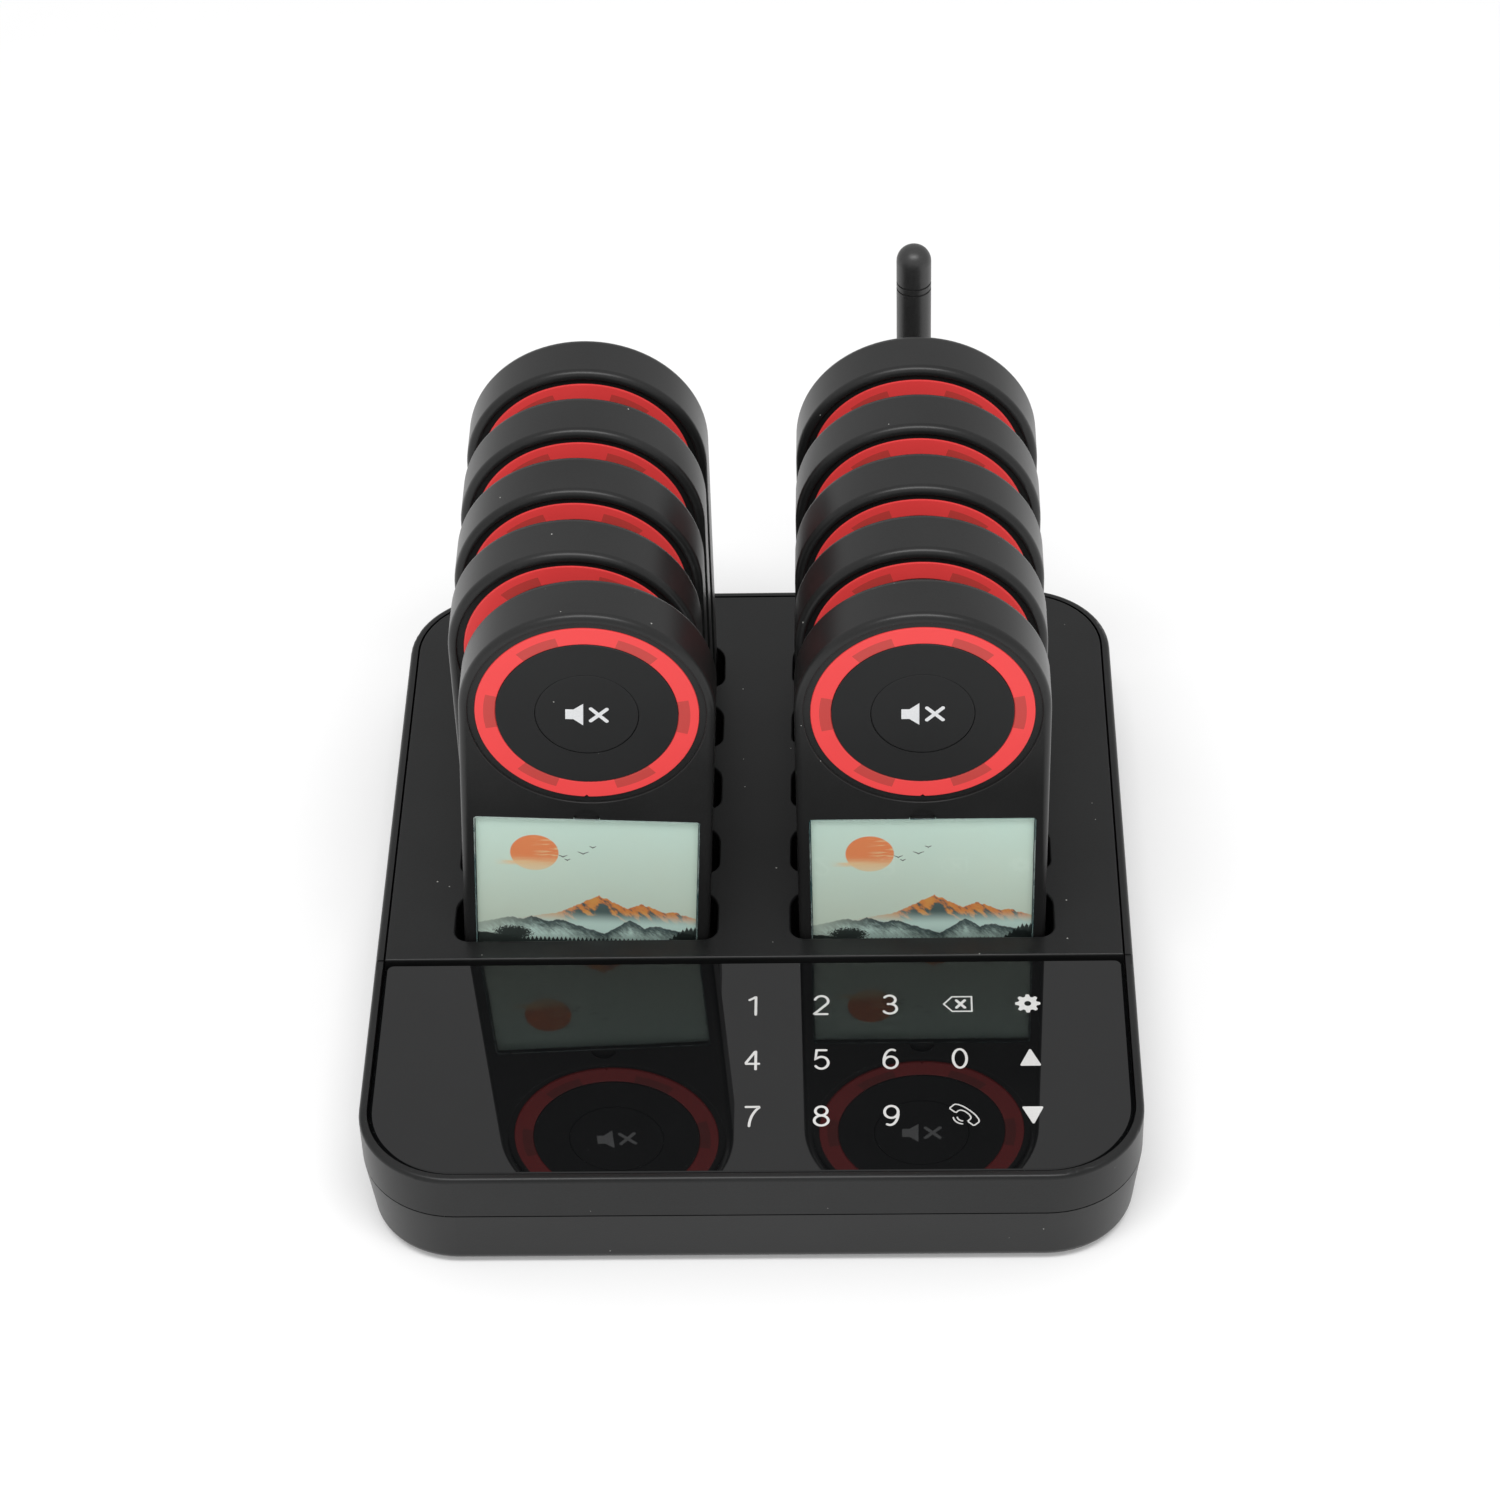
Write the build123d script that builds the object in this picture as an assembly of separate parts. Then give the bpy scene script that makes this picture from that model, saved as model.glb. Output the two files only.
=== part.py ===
from build123d import *
import math
import os

# Guest pager set: a charging and calling base with ten pagers docked in two columns.
# Millimetres. X runs left to right, Y from the keypad to the antenna, Z up from the table.
# Every piece is drawn with the base's plan centre at X = Y = 0, and save() moves it so that
# the origin ends up under the middle of the whole set, antenna included.

# ---- base casing -------------------------------------------------------------------
base_width = 190.0
base_corner = 24.0
deck_top = 32.0  # height of the rear deck above the table
parting_z = 19.3  # where the lower shell meets the upper frame
foot_height = 0.8
wall = 2.2
floor_thickness = 2.2
bottom_draft = 2.0  # how far the lower shell leans in by its underside
bottom_round = 3.0
reveal = 0.8  # shadow line between the two halves of the casing
reveal_height = 0.4
rim_width = 2.0
rim_round = 1.2
groove = 0.35  # gap between the rim and the panels inside it
ledge_width = 12.0
ledge_thickness = 2.5
panel_drop = 4.5  # deck surface to the ledge that carries both panels

# ---- deck, glass and keypad --------------------------------------------------------
deck_thickness = 2.5
deck_rib = 2.0  # width of the stiffening rib round the deck's underside
deck_edge_round = 0.5
seam_from_front = 74.25  # base front to the deck's front edge
seam_gap = 0.8
glass_thickness = 2.0
glass_drop = 0.6  # glass surface below the deck surface
glass_edge = 0.9
glass_rear_corner = 2.5
rim_notch = 3.4
rim_notch_depth = 0.3
touch_board_thickness = 1.2
touch_board_margin = 15.0

# ---- docking slots -----------------------------------------------------------------
rows = 5
column_offset = 42.45  # column centre line from the middle of the base
slot_bar = 6.55  # deck between one slot and the next
slot_side_gap = 2.1  # on each side of a pager
slot_rear_gap = 0.8
slot_front_corner = 3.5
slot_rear_corner = 6.5
slot_edge_round = 0.5
first_slot_inset = 6.6  # seam to the first slot's front edge
last_slot_margin = 22.15  # last slot's back edge to the base's rear
dock_depth = 18.0
well_wall = 1.6
well_floor = 1.6

# ---- pager -------------------------------------------------------------------------
pager_width = 62.0
pager_height = 122.5
pager_thickness = 15.0
pager_front_gap = 1.7  # slot's front edge to the pager's face
pager_foot_corner = 6.0
pager_front_round = 1.8
pager_rear_round = 2.4
pager_wall = 1.8
face_wall = 2.4
rear_cap = 2.5  # thickness of the rear shell's visible edge
rear_lip = 1.2
lip_clearance = 0.1
dish_margin = 2.2  # head's edge to the dish round the ring
dish_edge_round = 0.22
dish_depth = 0.6
ring_margin = 4.0  # head's edge to the ring
ring_band = 4.9  # ring's width
ring_step = 0.3  # ring face below the pager's face
ring_flange_lap = 1.4  # flange behind the face, beyond the ring
disc_clearance = 0.1
disc_step = 0.2
fixing_clearance = 0.1  # round pieces dropped in their holes, on the radius
button_radius = 12.5
button_clearance = 0.1
button_flange_lap = 1.5  # flange behind the disc, beyond the cap
button_flange_thickness = 0.8
button_step = 0.2
button_travel = 0.4
switch_gap = 0.02
switch_radius = 3.0
switch_height = 1.0
flange_thickness = 1.0
window_side = 3.05  # case beside the window
window_foot = 10.85  # pager's foot up to the window's lower edge
window_top_to_head = 34.35  # head centre down to the window's top edge
window_thickness = 1.1
window_corner = 0.8
card_thickness = 0.25
card_margin = 0.5
tab_width = 6.5
tab_depth = 0.6
board_thickness = 1.2
board_side = 9.0  # case side to the board's straight edge
board_round_margin = 4.0
board_below_head = 39.5  # head centre down to the board's lower edge
battery_width = 38.0
battery_thickness = 3.6
battery_board_gap = 4.0
battery_foot_z = 14.0
motor_radius = 2.4
motor_length = 10.0
pager_buzzer_radius = 6.0
pager_buzzer_height = 3.4
contact_offset = 8.0
contact_size = (6.0, 4.0, 2.4)
pager_screw_radius = 0.8
pager_screw_head = 1.7
pager_screw_head_height = 1.0
pager_screw_sink = 0.2  # head top below the rear face
pager_screw_length = 7.5
pager_post_radius = 2.2
pager_post_inset = 6.0
pager_post_foot = 6.0
pager_post_below_head = 31.5
first_pager_lean = 3.0  # degrees; it stands loose in its slot, tipped to the right on its foot's corner
first_pager_shift = (-0.3, -0.4)

# ---- base electronics --------------------------------------------------------------
pcb = 1.6
contact_board_width = 52.0
contact_board_margin = 0.85  # shorter than the row of slots at each end
contact_board_drop = 1.2
contact_post_radius = 2.5
spring_pin_radius = 0.9
spring_pin_collar = 1.7
spring_pin_clearance = 0.2
main_board_size = (120.0, 56.0)
main_board_inset = 38.5  # base front to the main board's middle
main_board_z = 8.0
main_board_post = 2.5
base_buzzer_radius = 7.0
base_buzzer_height = 8.0
jack_x = -60.0
jack_z = 10.5
jack_nose = 4.1
jack_bore = 3.0
jack_bore_depth = 9.5
jack_pin = 1.0
jack_pin_length = 8.5
jack_nose_length = 3.2
jack_block = (9.6, 12.0, 11.0)
jack_inset = 0.3

# ---- fasteners and feet ------------------------------------------------------------
screw_shank = 1.25
screw_clearance = 0.35
screw_head = 2.8
screw_head_height = 2.0
screw_head_z = 5.2
screw_sink_clearance = 0.3
screw_bite = 4.5  # thread length in the upper frame's boss
post_radius = 4.4
boss_radius = 3.5
corner_screw_reach = 13.0  # from a corner's centre along its diagonal
side_screw_inset = 11.0
foot_radius = 6.5
foot_recess = 0.6
foot_inset = (27.0, 18.0)

# ---- antenna -----------------------------------------------------------------------
antenna_x = column_offset
antenna_z = 23.5
antenna_standoff = 10.05  # rear wall to the antenna's axis
antenna_top = 139.9
whip_radius = 4.55
connector_radius = 3.1
connector_hex = 7.2
connector_flange = 2.0
connector_inside = 6.0
nut_hex = 9.0
nut_thickness = 1.6
coupling_gap = 0.25
coupling_length = 2.8
coupling_bore_depth = 2.0
turn_clearance = 0.05
tongue_width = 4.4
tongue_radius = 3.9
tongue_side_clearance = 0.12
tongue_tip_clearance = 0.3
fork_radius = 4.55
hinge_pin_radius = 1.2
whip_shoulder = 5.6  # pivot up to the whip's round body
groove_from_top = 10.8
groove_width = 0.5
groove_depth = 0.3
groove_spacing = 1.9

# ---- places worked out from the sizes above ----------------------------------------
slot_length = pager_width + 2 * slot_side_gap
slot_width = pager_front_gap + pager_thickness + slot_rear_gap
row_pitch = slot_width + slot_bar
slots_depth = (rows - 1) * row_pitch + slot_width  # front of the first slot to the back of the last
base_depth = seam_from_front + first_slot_inset + slots_depth + last_slot_margin
half_depth = base_depth / 2
seam_y = -half_depth + seam_from_front
panel_inset = rim_width + groove
ledge_top = deck_top - panel_drop
first_slot_front = seam_y + first_slot_inset
slot_floor = deck_top - dock_depth
pager_face_y = first_slot_front + pager_front_gap
head_radius = pager_width / 2
dish_radius = head_radius - dish_margin
ring_outer = head_radius - ring_margin
ring_inner = ring_outer - ring_band
ring_flange = ring_outer + ring_flange_lap
disc_radius = ring_inner - disc_clearance
button_flange = button_radius + button_flange_lap
window_width = pager_width - 2 * window_side
board_half_width = head_radius - board_side
board_round = head_radius - board_round_margin
pager_post_x = head_radius - pager_post_inset
contact_board_size = (contact_board_width, slots_depth - 2 * contact_board_margin)
head_z = pager_height - head_radius  # head centre above the pager's own foot
window_top = head_z - window_top_to_head
window_height = window_top - window_foot
board_foot_z = head_z - board_below_head
battery_size = (battery_width, battery_thickness, board_foot_z - battery_board_gap - battery_foot_z)
pager_post_z = (pager_post_foot, head_z - pager_post_below_head)
split_y = pager_thickness - rear_cap  # front shell's depth
back_inside = pager_thickness - pager_wall
ring_back = face_wall + flange_thickness
disc_back = ring_back + flange_thickness
button_back = disc_back + button_flange_thickness
board_y = button_back + button_travel + switch_gap + switch_height
antenna_y = half_depth + antenna_standoff
antenna_rear = antenna_y + whip_radius
origin_y = (antenna_rear - half_depth) / 2  # middle of the whole set
corner_x = base_width / 2 - base_corner
corner_y = half_depth - base_corner
draft_angle = math.degrees(math.atan(bottom_draft / (parting_z - foot_height)))
columns = (-column_offset, column_offset)


def save(name, shape):
    """Write one node, moved into the set's own frame."""
    export_step(Pos(0, -origin_y, 0) * shape, f"parts/{name}.step")


def group(shapes):
    """Separate solids that share one node."""
    return Compound([solid for shape in shapes for solid in shape.solids()])


def plan(inset):
    """The base's outline, drawn in by inset."""
    return RectangleRounded(base_width - 2 * inset, base_depth - 2 * inset, base_corner - inset)


def plan_block(inset, z_low, z_high):
    return Pos(0, 0, z_low) * extrude(plan(inset), z_high - z_low)


def disc_on_face(radius, y_near, y_far, x=0.0, z=0.0):
    """A round piece whose axis runs along Y."""
    return Pos(x, (y_near + y_far) / 2, z) * Rot(90, 0, 0) * Cylinder(radius, y_far - y_near)


def post(radius, z_low, z_high, x, y):
    return Pos(x, y, (z_low + z_high) / 2) * Cylinder(radius, z_high - z_low)


def hex_on_face(across, y_near, y_far, x, z):
    """A hexagonal piece whose axis runs along Y."""
    outline = Plane.XZ * RegularPolygon(across / 2, 6, major_radius=False)
    return Pos(x, y_near, z) * extrude(outline, -(y_far - y_near))


def top_edges(shape, z):
    return [e for e in shape.edges() if abs(e.bounding_box().min.Z - z) < 1e-4
            and abs(e.bounding_box().max.Z - z) < 1e-4]


def behind_seam(z_low, z_high):
    """The space behind the deck's front edge."""
    length = half_depth - seam_y + 1
    return Pos(0, seam_y + length / 2, (z_low + z_high) / 2) * Box(base_width, length, z_high - z_low)


# ---- fastener positions ------------------------------------------------------------
diagonal = corner_screw_reach / math.sqrt(2)
screw_points = [(sx * (corner_x + diagonal), sy * (corner_y + diagonal))
                for sx in (-1, 1) for sy in (-1, 1)]
screw_points += [(side * (base_width / 2 - side_screw_inset), 0.0) for side in (-1, 1)]
foot_points = [(sx * (base_width / 2 - foot_inset[0]), sy * (half_depth - foot_inset[1]))
               for sx in (-1, 1) for sy in (-1, 1)]
main_board_y = -half_depth + main_board_inset
board_posts = [(sx * (main_board_size[0] / 2 - 5), main_board_y + sy * (main_board_size[1] / 2 - 5))
               for sx in (-1, 1) for sy in (-1, 1)]


def slot_outline():
    """A docking slot: tight corners towards the keypad, wide ones behind the pager."""
    outline = Rectangle(slot_length, slot_width)
    outline = fillet(outline.vertices().group_by(Axis.Y)[0], slot_front_corner)
    return fillet(outline.vertices().group_by(Axis.Y)[-1], slot_rear_corner)


def slot_centres():
    for x in columns:
        for row in range(rows):
            yield x, first_slot_front + slot_width / 2 + row * row_pitch


def slot_cutters(z_low, z_high, centres):
    outline = slot_outline()
    return [Pos(x, y, z_low) * extrude(outline, z_high - z_low) for x, y in centres]


# ---- base casing -------------------------------------------------------------------
def lower_shell():
    height = parting_z - foot_height
    outer = Pos(0, 0, parting_z) * extrude(plan(0), -height, taper=draft_angle)
    outer = fillet(top_edges(outer, foot_height), bottom_round)
    inner_height = height - floor_thickness
    inner = Pos(0, 0, parting_z) * extrude(plan(wall), -inner_height, taper=draft_angle)
    shell = outer - inner
    floor = foot_height + floor_thickness
    shell -= plan_block(-1, parting_z - reveal_height, parting_z + 1) - plan_block(
        reveal, parting_z - reveal_height - 1, parting_z + 2)
    for x, y in screw_points:
        shell += post(post_radius, floor - 0.2, parting_z, x, y)
    for x, y in board_posts:
        shell += post(main_board_post, floor - 0.2, main_board_z, x, y)
    sink = screw_head_z + screw_head_height
    for x, y in screw_points:
        shell -= post(screw_head + screw_sink_clearance, foot_height - 1, sink, x, y)
        shell -= post(screw_shank + screw_clearance, foot_height, parting_z + 1, x, y)
    for x, y in foot_points:
        shell -= post(foot_radius, foot_height - 1, foot_height + foot_recess, x, y)
    return shell - disc_on_face(jack_nose, half_depth - 12, half_depth + 1, jack_x, jack_z)


def upper_frame():
    frame = plan_block(0, parting_z, deck_top)
    frame = fillet(top_edges(frame, deck_top), rim_round)
    frame -= plan_block(rim_width, parting_z - 1, deck_top + 1)
    ledge_low = ledge_top - ledge_thickness
    ledge = plan_block(rim_width, ledge_low, ledge_top)
    frame += ledge - plan_block(rim_width + ledge_width, ledge_low - 1, ledge_top + 1)
    for x, y in screw_points:
        frame += post(boss_radius, parting_z, ledge_low + 0.2, x, y)
        frame -= post(screw_shank, parting_z - 1, parting_z + screw_bite, x, y)
    notch_y = seam_y - rim_notch / 2
    frame -= Pos(0, notch_y, deck_top) * Box(base_width + 2, rim_notch, 2 * rim_notch_depth)
    clear_width = connector_hex * 1.5
    clear_y = half_depth - rim_width - ledge_width / 2
    frame -= Pos(antenna_x, clear_y, antenna_z) * Box(clear_width, ledge_width + 0.02, clear_width)
    return frame - disc_on_face(connector_radius, half_depth - 5, half_depth + 1, antenna_x, antenna_z)


def slot_deck():
    under = deck_top - deck_thickness
    deck = plan_block(panel_inset, ledge_top, deck_top) & behind_seam(ledge_top - 1, deck_top + 1)
    rib_inner = plan_block(panel_inset + deck_rib, ledge_top - 1, under)
    front_wall = Pos(0, seam_y, ledge_top) * Box(base_width, 2 * deck_rib, 2 * deck_thickness + panel_drop)
    deck -= (rib_inner & behind_seam(ledge_top - 2, under)) - front_wall
    deck = fillet(top_edges(deck, deck_top), deck_edge_round)
    for cutter in slot_cutters(under - 1, deck_top + 1, list(slot_centres())):
        deck -= cutter
    slot_rims = [e for e in top_edges(deck, deck_top)
                 if abs(e.center().X) < column_offset + slot_length / 2 + 0.1
                 and first_slot_front - 0.1 < e.center().Y < first_slot_front + rows * row_pitch]
    return fillet(slot_rims, slot_edge_round)


def front_panel(inset, z_low, z_high, rear_corner):
    """The glass's outline, drawn in by inset, from the front rim to the seam."""
    rear_y = seam_y - seam_gap - inset
    front_y = -half_depth + panel_inset + inset
    length = rear_y - front_y
    panel = plan_block(panel_inset + inset, z_low, z_high)
    panel &= Pos(0, front_y + length / 2, (z_low + z_high) / 2) * Box(base_width, length, z_high - z_low)
    rear = [e for e in panel.edges().filter_by(Axis.Z) if e.center().Y > rear_y - 0.01]
    return fillet(rear, rear_corner)


def touch_glass():
    top = deck_top - glass_drop
    glass = front_panel(0, top - glass_thickness, top, glass_rear_corner)
    return chamfer(top_edges(glass, top), glass_edge)


def board_window(margin, z_low, z_high):
    """The room for the touch board inside the carrier, margin wide of it on each side."""
    width = base_width - 2 * touch_board_margin + 2 * margin
    front_y = -half_depth + touch_board_margin - margin
    length = seam_y - seam_gap - deck_rib - 6 + margin - front_y
    return Pos(0, front_y + length / 2, (z_low + z_high) / 2) * Box(width, length, z_high - z_low)


def glass_carrier():
    top = deck_top - glass_drop - glass_thickness
    frame = front_panel(0.3, ledge_top, top, glass_rear_corner)
    return frame - board_window(0.5, ledge_top - 1, top + 1)


def touch_board():
    top = deck_top - glass_drop - glass_thickness
    return board_window(0, top - touch_board_thickness, top)


def charging_well(x):
    """The five pockets under one column of slots, with pin holes in their floors."""
    under = deck_top - deck_thickness
    low = slot_floor - well_floor
    front_y = first_slot_front - well_wall
    length = slots_depth + 2 * well_wall
    centres = [(cx, cy) for cx, cy in slot_centres() if cx == x]
    well = Pos(x, front_y + length / 2, (low + under) / 2) * Box(
        slot_length + 2 * well_wall, length, under - low)
    for cutter in slot_cutters(slot_floor, under + 1, centres):
        well -= cutter
    for px, py in pin_points():
        if abs(px - x) < slot_length / 2:
            well -= post(spring_pin_radius + spring_pin_clearance, low - 1, slot_floor + 1, px, py)
    for cx, cy in contact_board_posts(x):
        well += post(contact_post_radius, low - contact_board_drop, low + 0.2, cx, cy)
    return well


def pin_points():
    middle = pager_face_y + pager_thickness / 2
    return [(x + side * contact_offset, middle + row * row_pitch)
            for x in columns for row in range(rows) for side in (-1, 1)]


def well_middle_y():
    return first_slot_front + slots_depth / 2


def contact_board_posts(x):
    return [(x + sx * (contact_board_size[0] / 2 - 5), well_middle_y() + sy * (contact_board_size[1] / 2 - 5))
            for sx in (-1, 1) for sy in (-1, 1)]


def contact_boards():
    top = slot_floor - well_floor - contact_board_drop
    return [Pos(x, well_middle_y(), top - pcb / 2) * Box(*contact_board_size, pcb) for x in columns]


def spring_pins():
    low = slot_floor - well_floor - contact_board_drop
    collar_top = slot_floor - well_floor
    return [post(spring_pin_radius, low, slot_floor, x, y) + post(spring_pin_collar, low, collar_top, x, y)
            for x, y in pin_points()]


def main_board():
    width, depth = main_board_size
    board = Pos(0, main_board_y, main_board_z + pcb / 2) * Box(width, depth, pcb)
    top = main_board_z + pcb
    chips = [(18, 18, 2.4, 20, 4), (10, 14, 1.8, -8, -8), (26, 16, 3.0, 42, 10), (8, 8, 1.4, 8, 18)]
    for wide, deep, high, x, y in chips:
        board += Pos(x, main_board_y + y, top + high / 2) * Box(wide, deep, high)
    return board


def base_buzzer():
    low = main_board_z + pcb
    x = -main_board_size[0] / 4
    buzzer = post(base_buzzer_radius, low, low + base_buzzer_height, x, main_board_y)
    return buzzer - post(base_buzzer_radius / 7, low + 1, low + base_buzzer_height + 1, x, main_board_y)


def power_jack():
    wall_lean = bottom_draft * (parting_z - jack_z) / (parting_z - foot_height)
    mouth = half_depth - wall_lean - jack_inset
    back = mouth - jack_nose_length
    wide, long, high = jack_block
    jack = disc_on_face(jack_nose, back, mouth, jack_x, jack_z)
    jack += Pos(jack_x, back - long / 2, jack_z) * Box(wide, long, high)
    jack -= disc_on_face(jack_bore, mouth - jack_bore_depth, mouth + 1, jack_x, jack_z)
    pin_tip = mouth - jack_bore_depth + jack_pin_length
    return jack + disc_on_face(jack_pin, mouth - jack_bore_depth - 0.5, pin_tip, jack_x, jack_z)


def rubber_feet():
    feet = []
    for x, y in foot_points:
        foot = post(foot_radius, 0, foot_height + foot_recess, x, y)
        feet.append(fillet(top_edges(foot, 0), 0.5))
    return feet


def case_screws():
    screws = []
    for x, y in screw_points:
        head_top = screw_head_z + screw_head_height
        screw = post(screw_head, screw_head_z, head_top, x, y)
        screw += post(screw_shank, head_top - 0.1, parting_z + screw_bite, x, y)
        for cross in (Box(0.7, 3.2, 1.6), Box(3.2, 0.7, 1.6)):
            screw -= Pos(x, y, screw_head_z) * cross
        screws.append(screw)
    return screws


# ---- antenna -----------------------------------------------------------------------
nut_front = half_depth
coupling_y = half_depth + nut_thickness + coupling_gap
fork_slot_y = antenna_y - tongue_radius - tongue_tip_clearance
elbow_start = coupling_y + coupling_length


def antenna_connector():
    inside = half_depth - rim_width
    socket_end = coupling_y + coupling_bore_depth - coupling_gap / 2
    body = disc_on_face(connector_radius, inside - connector_inside, socket_end, antenna_x, antenna_z)
    body += hex_on_face(connector_hex, inside - connector_flange, inside, antenna_x, antenna_z)
    return body


def connector_nut():
    nut = hex_on_face(nut_hex, nut_front, nut_front + nut_thickness, antenna_x, antenna_z)
    nut_back = nut_front + nut_thickness
    return nut - disc_on_face(connector_radius, nut_front - 1, nut_back + 1, antenna_x, antenna_z)


def antenna_elbow():
    """The screwed coupling and the fork that the whip folds in."""
    elbow = disc_on_face(whip_radius, coupling_y, elbow_start, antenna_x, antenna_z)
    elbow += disc_on_face(whip_radius, elbow_start - 0.01, antenna_y, antenna_x, antenna_z) & (
        Pos(antenna_x, antenna_y, antenna_z) * Box(2 * fork_radius, 2 * antenna_standoff, 2 * fork_radius))
    knuckle = Pos(antenna_x, antenna_y, antenna_z) * Rot(0, 90, 0) * Cylinder(fork_radius, 2 * whip_radius)
    elbow += fillet(knuckle.edges(), 0.6)
    bore_end = coupling_y + coupling_bore_depth
    elbow -= disc_on_face(connector_radius + turn_clearance, coupling_y - 1, bore_end, antenna_x, antenna_z)
    slot_end = antenna_y + fork_radius + 1
    gap = tongue_width + 2 * tongue_side_clearance
    elbow -= Pos(antenna_x, (fork_slot_y + slot_end) / 2, antenna_z) * Box(
        gap, slot_end - fork_slot_y, 4 * fork_radius)
    hole = Pos(antenna_x, antenna_y, antenna_z) * Rot(0, 90, 0) * Cylinder(hinge_pin_radius, 4 * whip_radius)
    return elbow - hole


def antenna_hinge_pin():
    length = 2 * whip_radius - 0.2
    return Pos(antenna_x, antenna_y, antenna_z) * Rot(0, 90, 0) * Cylinder(hinge_pin_radius, length)


def antenna_whip():
    shoulder = antenna_z + whip_shoulder
    whip = post(whip_radius, shoulder, antenna_top, antenna_x, antenna_y)
    whip = fillet(top_edges(whip, antenna_top), whip_radius - 0.15)
    whip = fillet(top_edges(whip, shoulder), 0.5)
    for n in (0, 1):
        z = antenna_top - groove_from_top - n * groove_spacing
        band = post(whip_radius + 1, z - groove_width / 2, z + groove_width / 2, antenna_x, antenna_y)
        whip -= band - post(whip_radius - groove_depth, z - 1, z + 1, antenna_x, antenna_y)
    tongue = Rot(0, 90, 0) * Cylinder(tongue_radius, tongue_width)
    tongue += Pos(0, 0, whip_shoulder / 2) * Box(tongue_width, 2 * tongue_radius, whip_shoulder + 0.4)
    whip += Pos(antenna_x, antenna_y, antenna_z) * tongue
    bore = Rot(0, 90, 0) * Cylinder(hinge_pin_radius + turn_clearance, 4 * whip_radius)
    return whip - Pos(antenna_x, antenna_y, antenna_z) * bore


# ---- pager, drawn with its face on Y = 0 and its foot on Z = 0 ---------------------
def pager_outline(inset=0.0):
    """Round head and straight sides in X and Z, drawn in by inset."""
    half = head_radius - inset
    foot = inset
    side = Pos(0, (foot + head_z) / 2) * Rectangle(2 * half, head_z - foot)
    corner = pager_foot_corner - inset
    side = fillet(side.vertices().group_by(Axis.Y)[0], corner)
    return side + Pos(0, head_z) * Circle(half)


def tipped_on_corner(degrees):
    """A turn to the right about the middle of the foot's right corner round, which keeps it on the floor."""
    turn_x, turn_z = head_radius - pager_foot_corner, pager_foot_corner
    return Pos(turn_x, 0, turn_z) * Rot(0, degrees, 0) * Pos(-turn_x, 0, -turn_z)


def pager_block(inset, y_near, y_far):
    return Pos(0, y_near, 0) * extrude(Plane.XZ * pager_outline(inset), -(y_far - y_near))


def pager_posts(radius, y_near, y_far):
    return [disc_on_face(radius, y_near, y_far, side * pager_post_x, z)
            for side in (-1, 1) for z in pager_post_z]


def edges_at_y(shape, y):
    return [e for e in shape.edges() if abs(e.bounding_box().min.Y - y) < 1e-4
            and abs(e.bounding_box().max.Y - y) < 1e-4]


def window_block(margin, y_near, y_far):
    """A flat box in the window's place, drawn in by margin."""
    wide, high = window_width - 2 * margin, window_height - 2 * margin
    outline = Plane.XZ * RectangleRounded(wide, high, window_corner)
    return Pos(0, y_near, window_top - window_height / 2) * extrude(outline, -(y_far - y_near))


def front_shell():
    shell = pager_block(0, 0, split_y)
    shell = fillet(edges_at_y(shell, 0), pager_front_round)
    shell -= pager_block(pager_wall, face_wall, split_y + 1)
    shell -= disc_on_face(dish_radius, -1, dish_depth, 0, head_z)
    lip = [e for e in edges_at_y(shell, 0) if abs(e.bounding_box().size.X - 2 * dish_radius) < 0.01]
    shell = fillet(lip, dish_edge_round)
    shell -= disc_on_face(ring_outer + fixing_clearance, -1, face_wall + 1, 0, head_z)
    shell -= window_block(0, -1, window_thickness + card_thickness)
    shell -= disc_on_face(tab_width / 2, -1, tab_depth, 0, window_top)
    for peg in pager_posts(pager_post_radius, face_wall - 0.2, split_y):
        shell += peg
    for hole in pager_posts(pager_screw_radius, split_y - pager_screw_length, split_y + 1):
        shell -= hole
    for x in (-contact_offset, contact_offset):
        shell -= contact_pad(x)
    return shell


def rear_shell():
    shell = pager_block(0, split_y, pager_thickness)
    shell = fillet(edges_at_y(shell, pager_thickness), pager_rear_round)
    shell -= pager_block(pager_wall, split_y - 1, back_inside)
    lip_outer = pager_wall + lip_clearance
    lip = pager_block(lip_outer, split_y - rear_lip, back_inside + 0.2)
    shell += lip - pager_block(lip_outer + 1.0, split_y - rear_lip - 1, back_inside)
    for peg in pager_posts(pager_post_radius, split_y, back_inside + 0.2):
        shell += peg
    head_room = pager_screw_head + 0.2
    head_seat = pager_thickness - pager_screw_sink - pager_screw_head_height
    for sink in pager_posts(head_room, head_seat, pager_thickness + 1):
        shell -= sink
    for hole in pager_posts(pager_screw_radius + 0.15, split_y - 1, pager_thickness):
        shell -= hole
    return shell


def light_ring():
    ring = disc_on_face(ring_outer, ring_step, face_wall, 0, head_z)
    ring += disc_on_face(ring_flange, face_wall, ring_back, 0, head_z)
    return ring - disc_on_face(ring_inner, -1, ring_back + 1, 0, head_z)


def face_disc():
    disc = disc_on_face(disc_radius, disc_step, ring_back, 0, head_z)
    disc = fillet(edges_at_y(disc, disc_step), 0.2)
    disc += disc_on_face(ring_flange, ring_back, disc_back, 0, head_z)
    return disc - disc_on_face(button_radius + button_clearance, -1, disc_back + 1, 0, head_z)


def mute_button():
    cap = disc_on_face(button_radius, button_step, disc_back, 0, head_z)
    cap = fillet(edges_at_y(cap, button_step), 0.3)
    return cap + disc_on_face(button_flange, disc_back, button_back, 0, head_z)


def display_window():
    return window_block(0, 0, window_thickness)


def picture_card():
    return window_block(card_margin, window_thickness, window_thickness + card_thickness)


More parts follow.
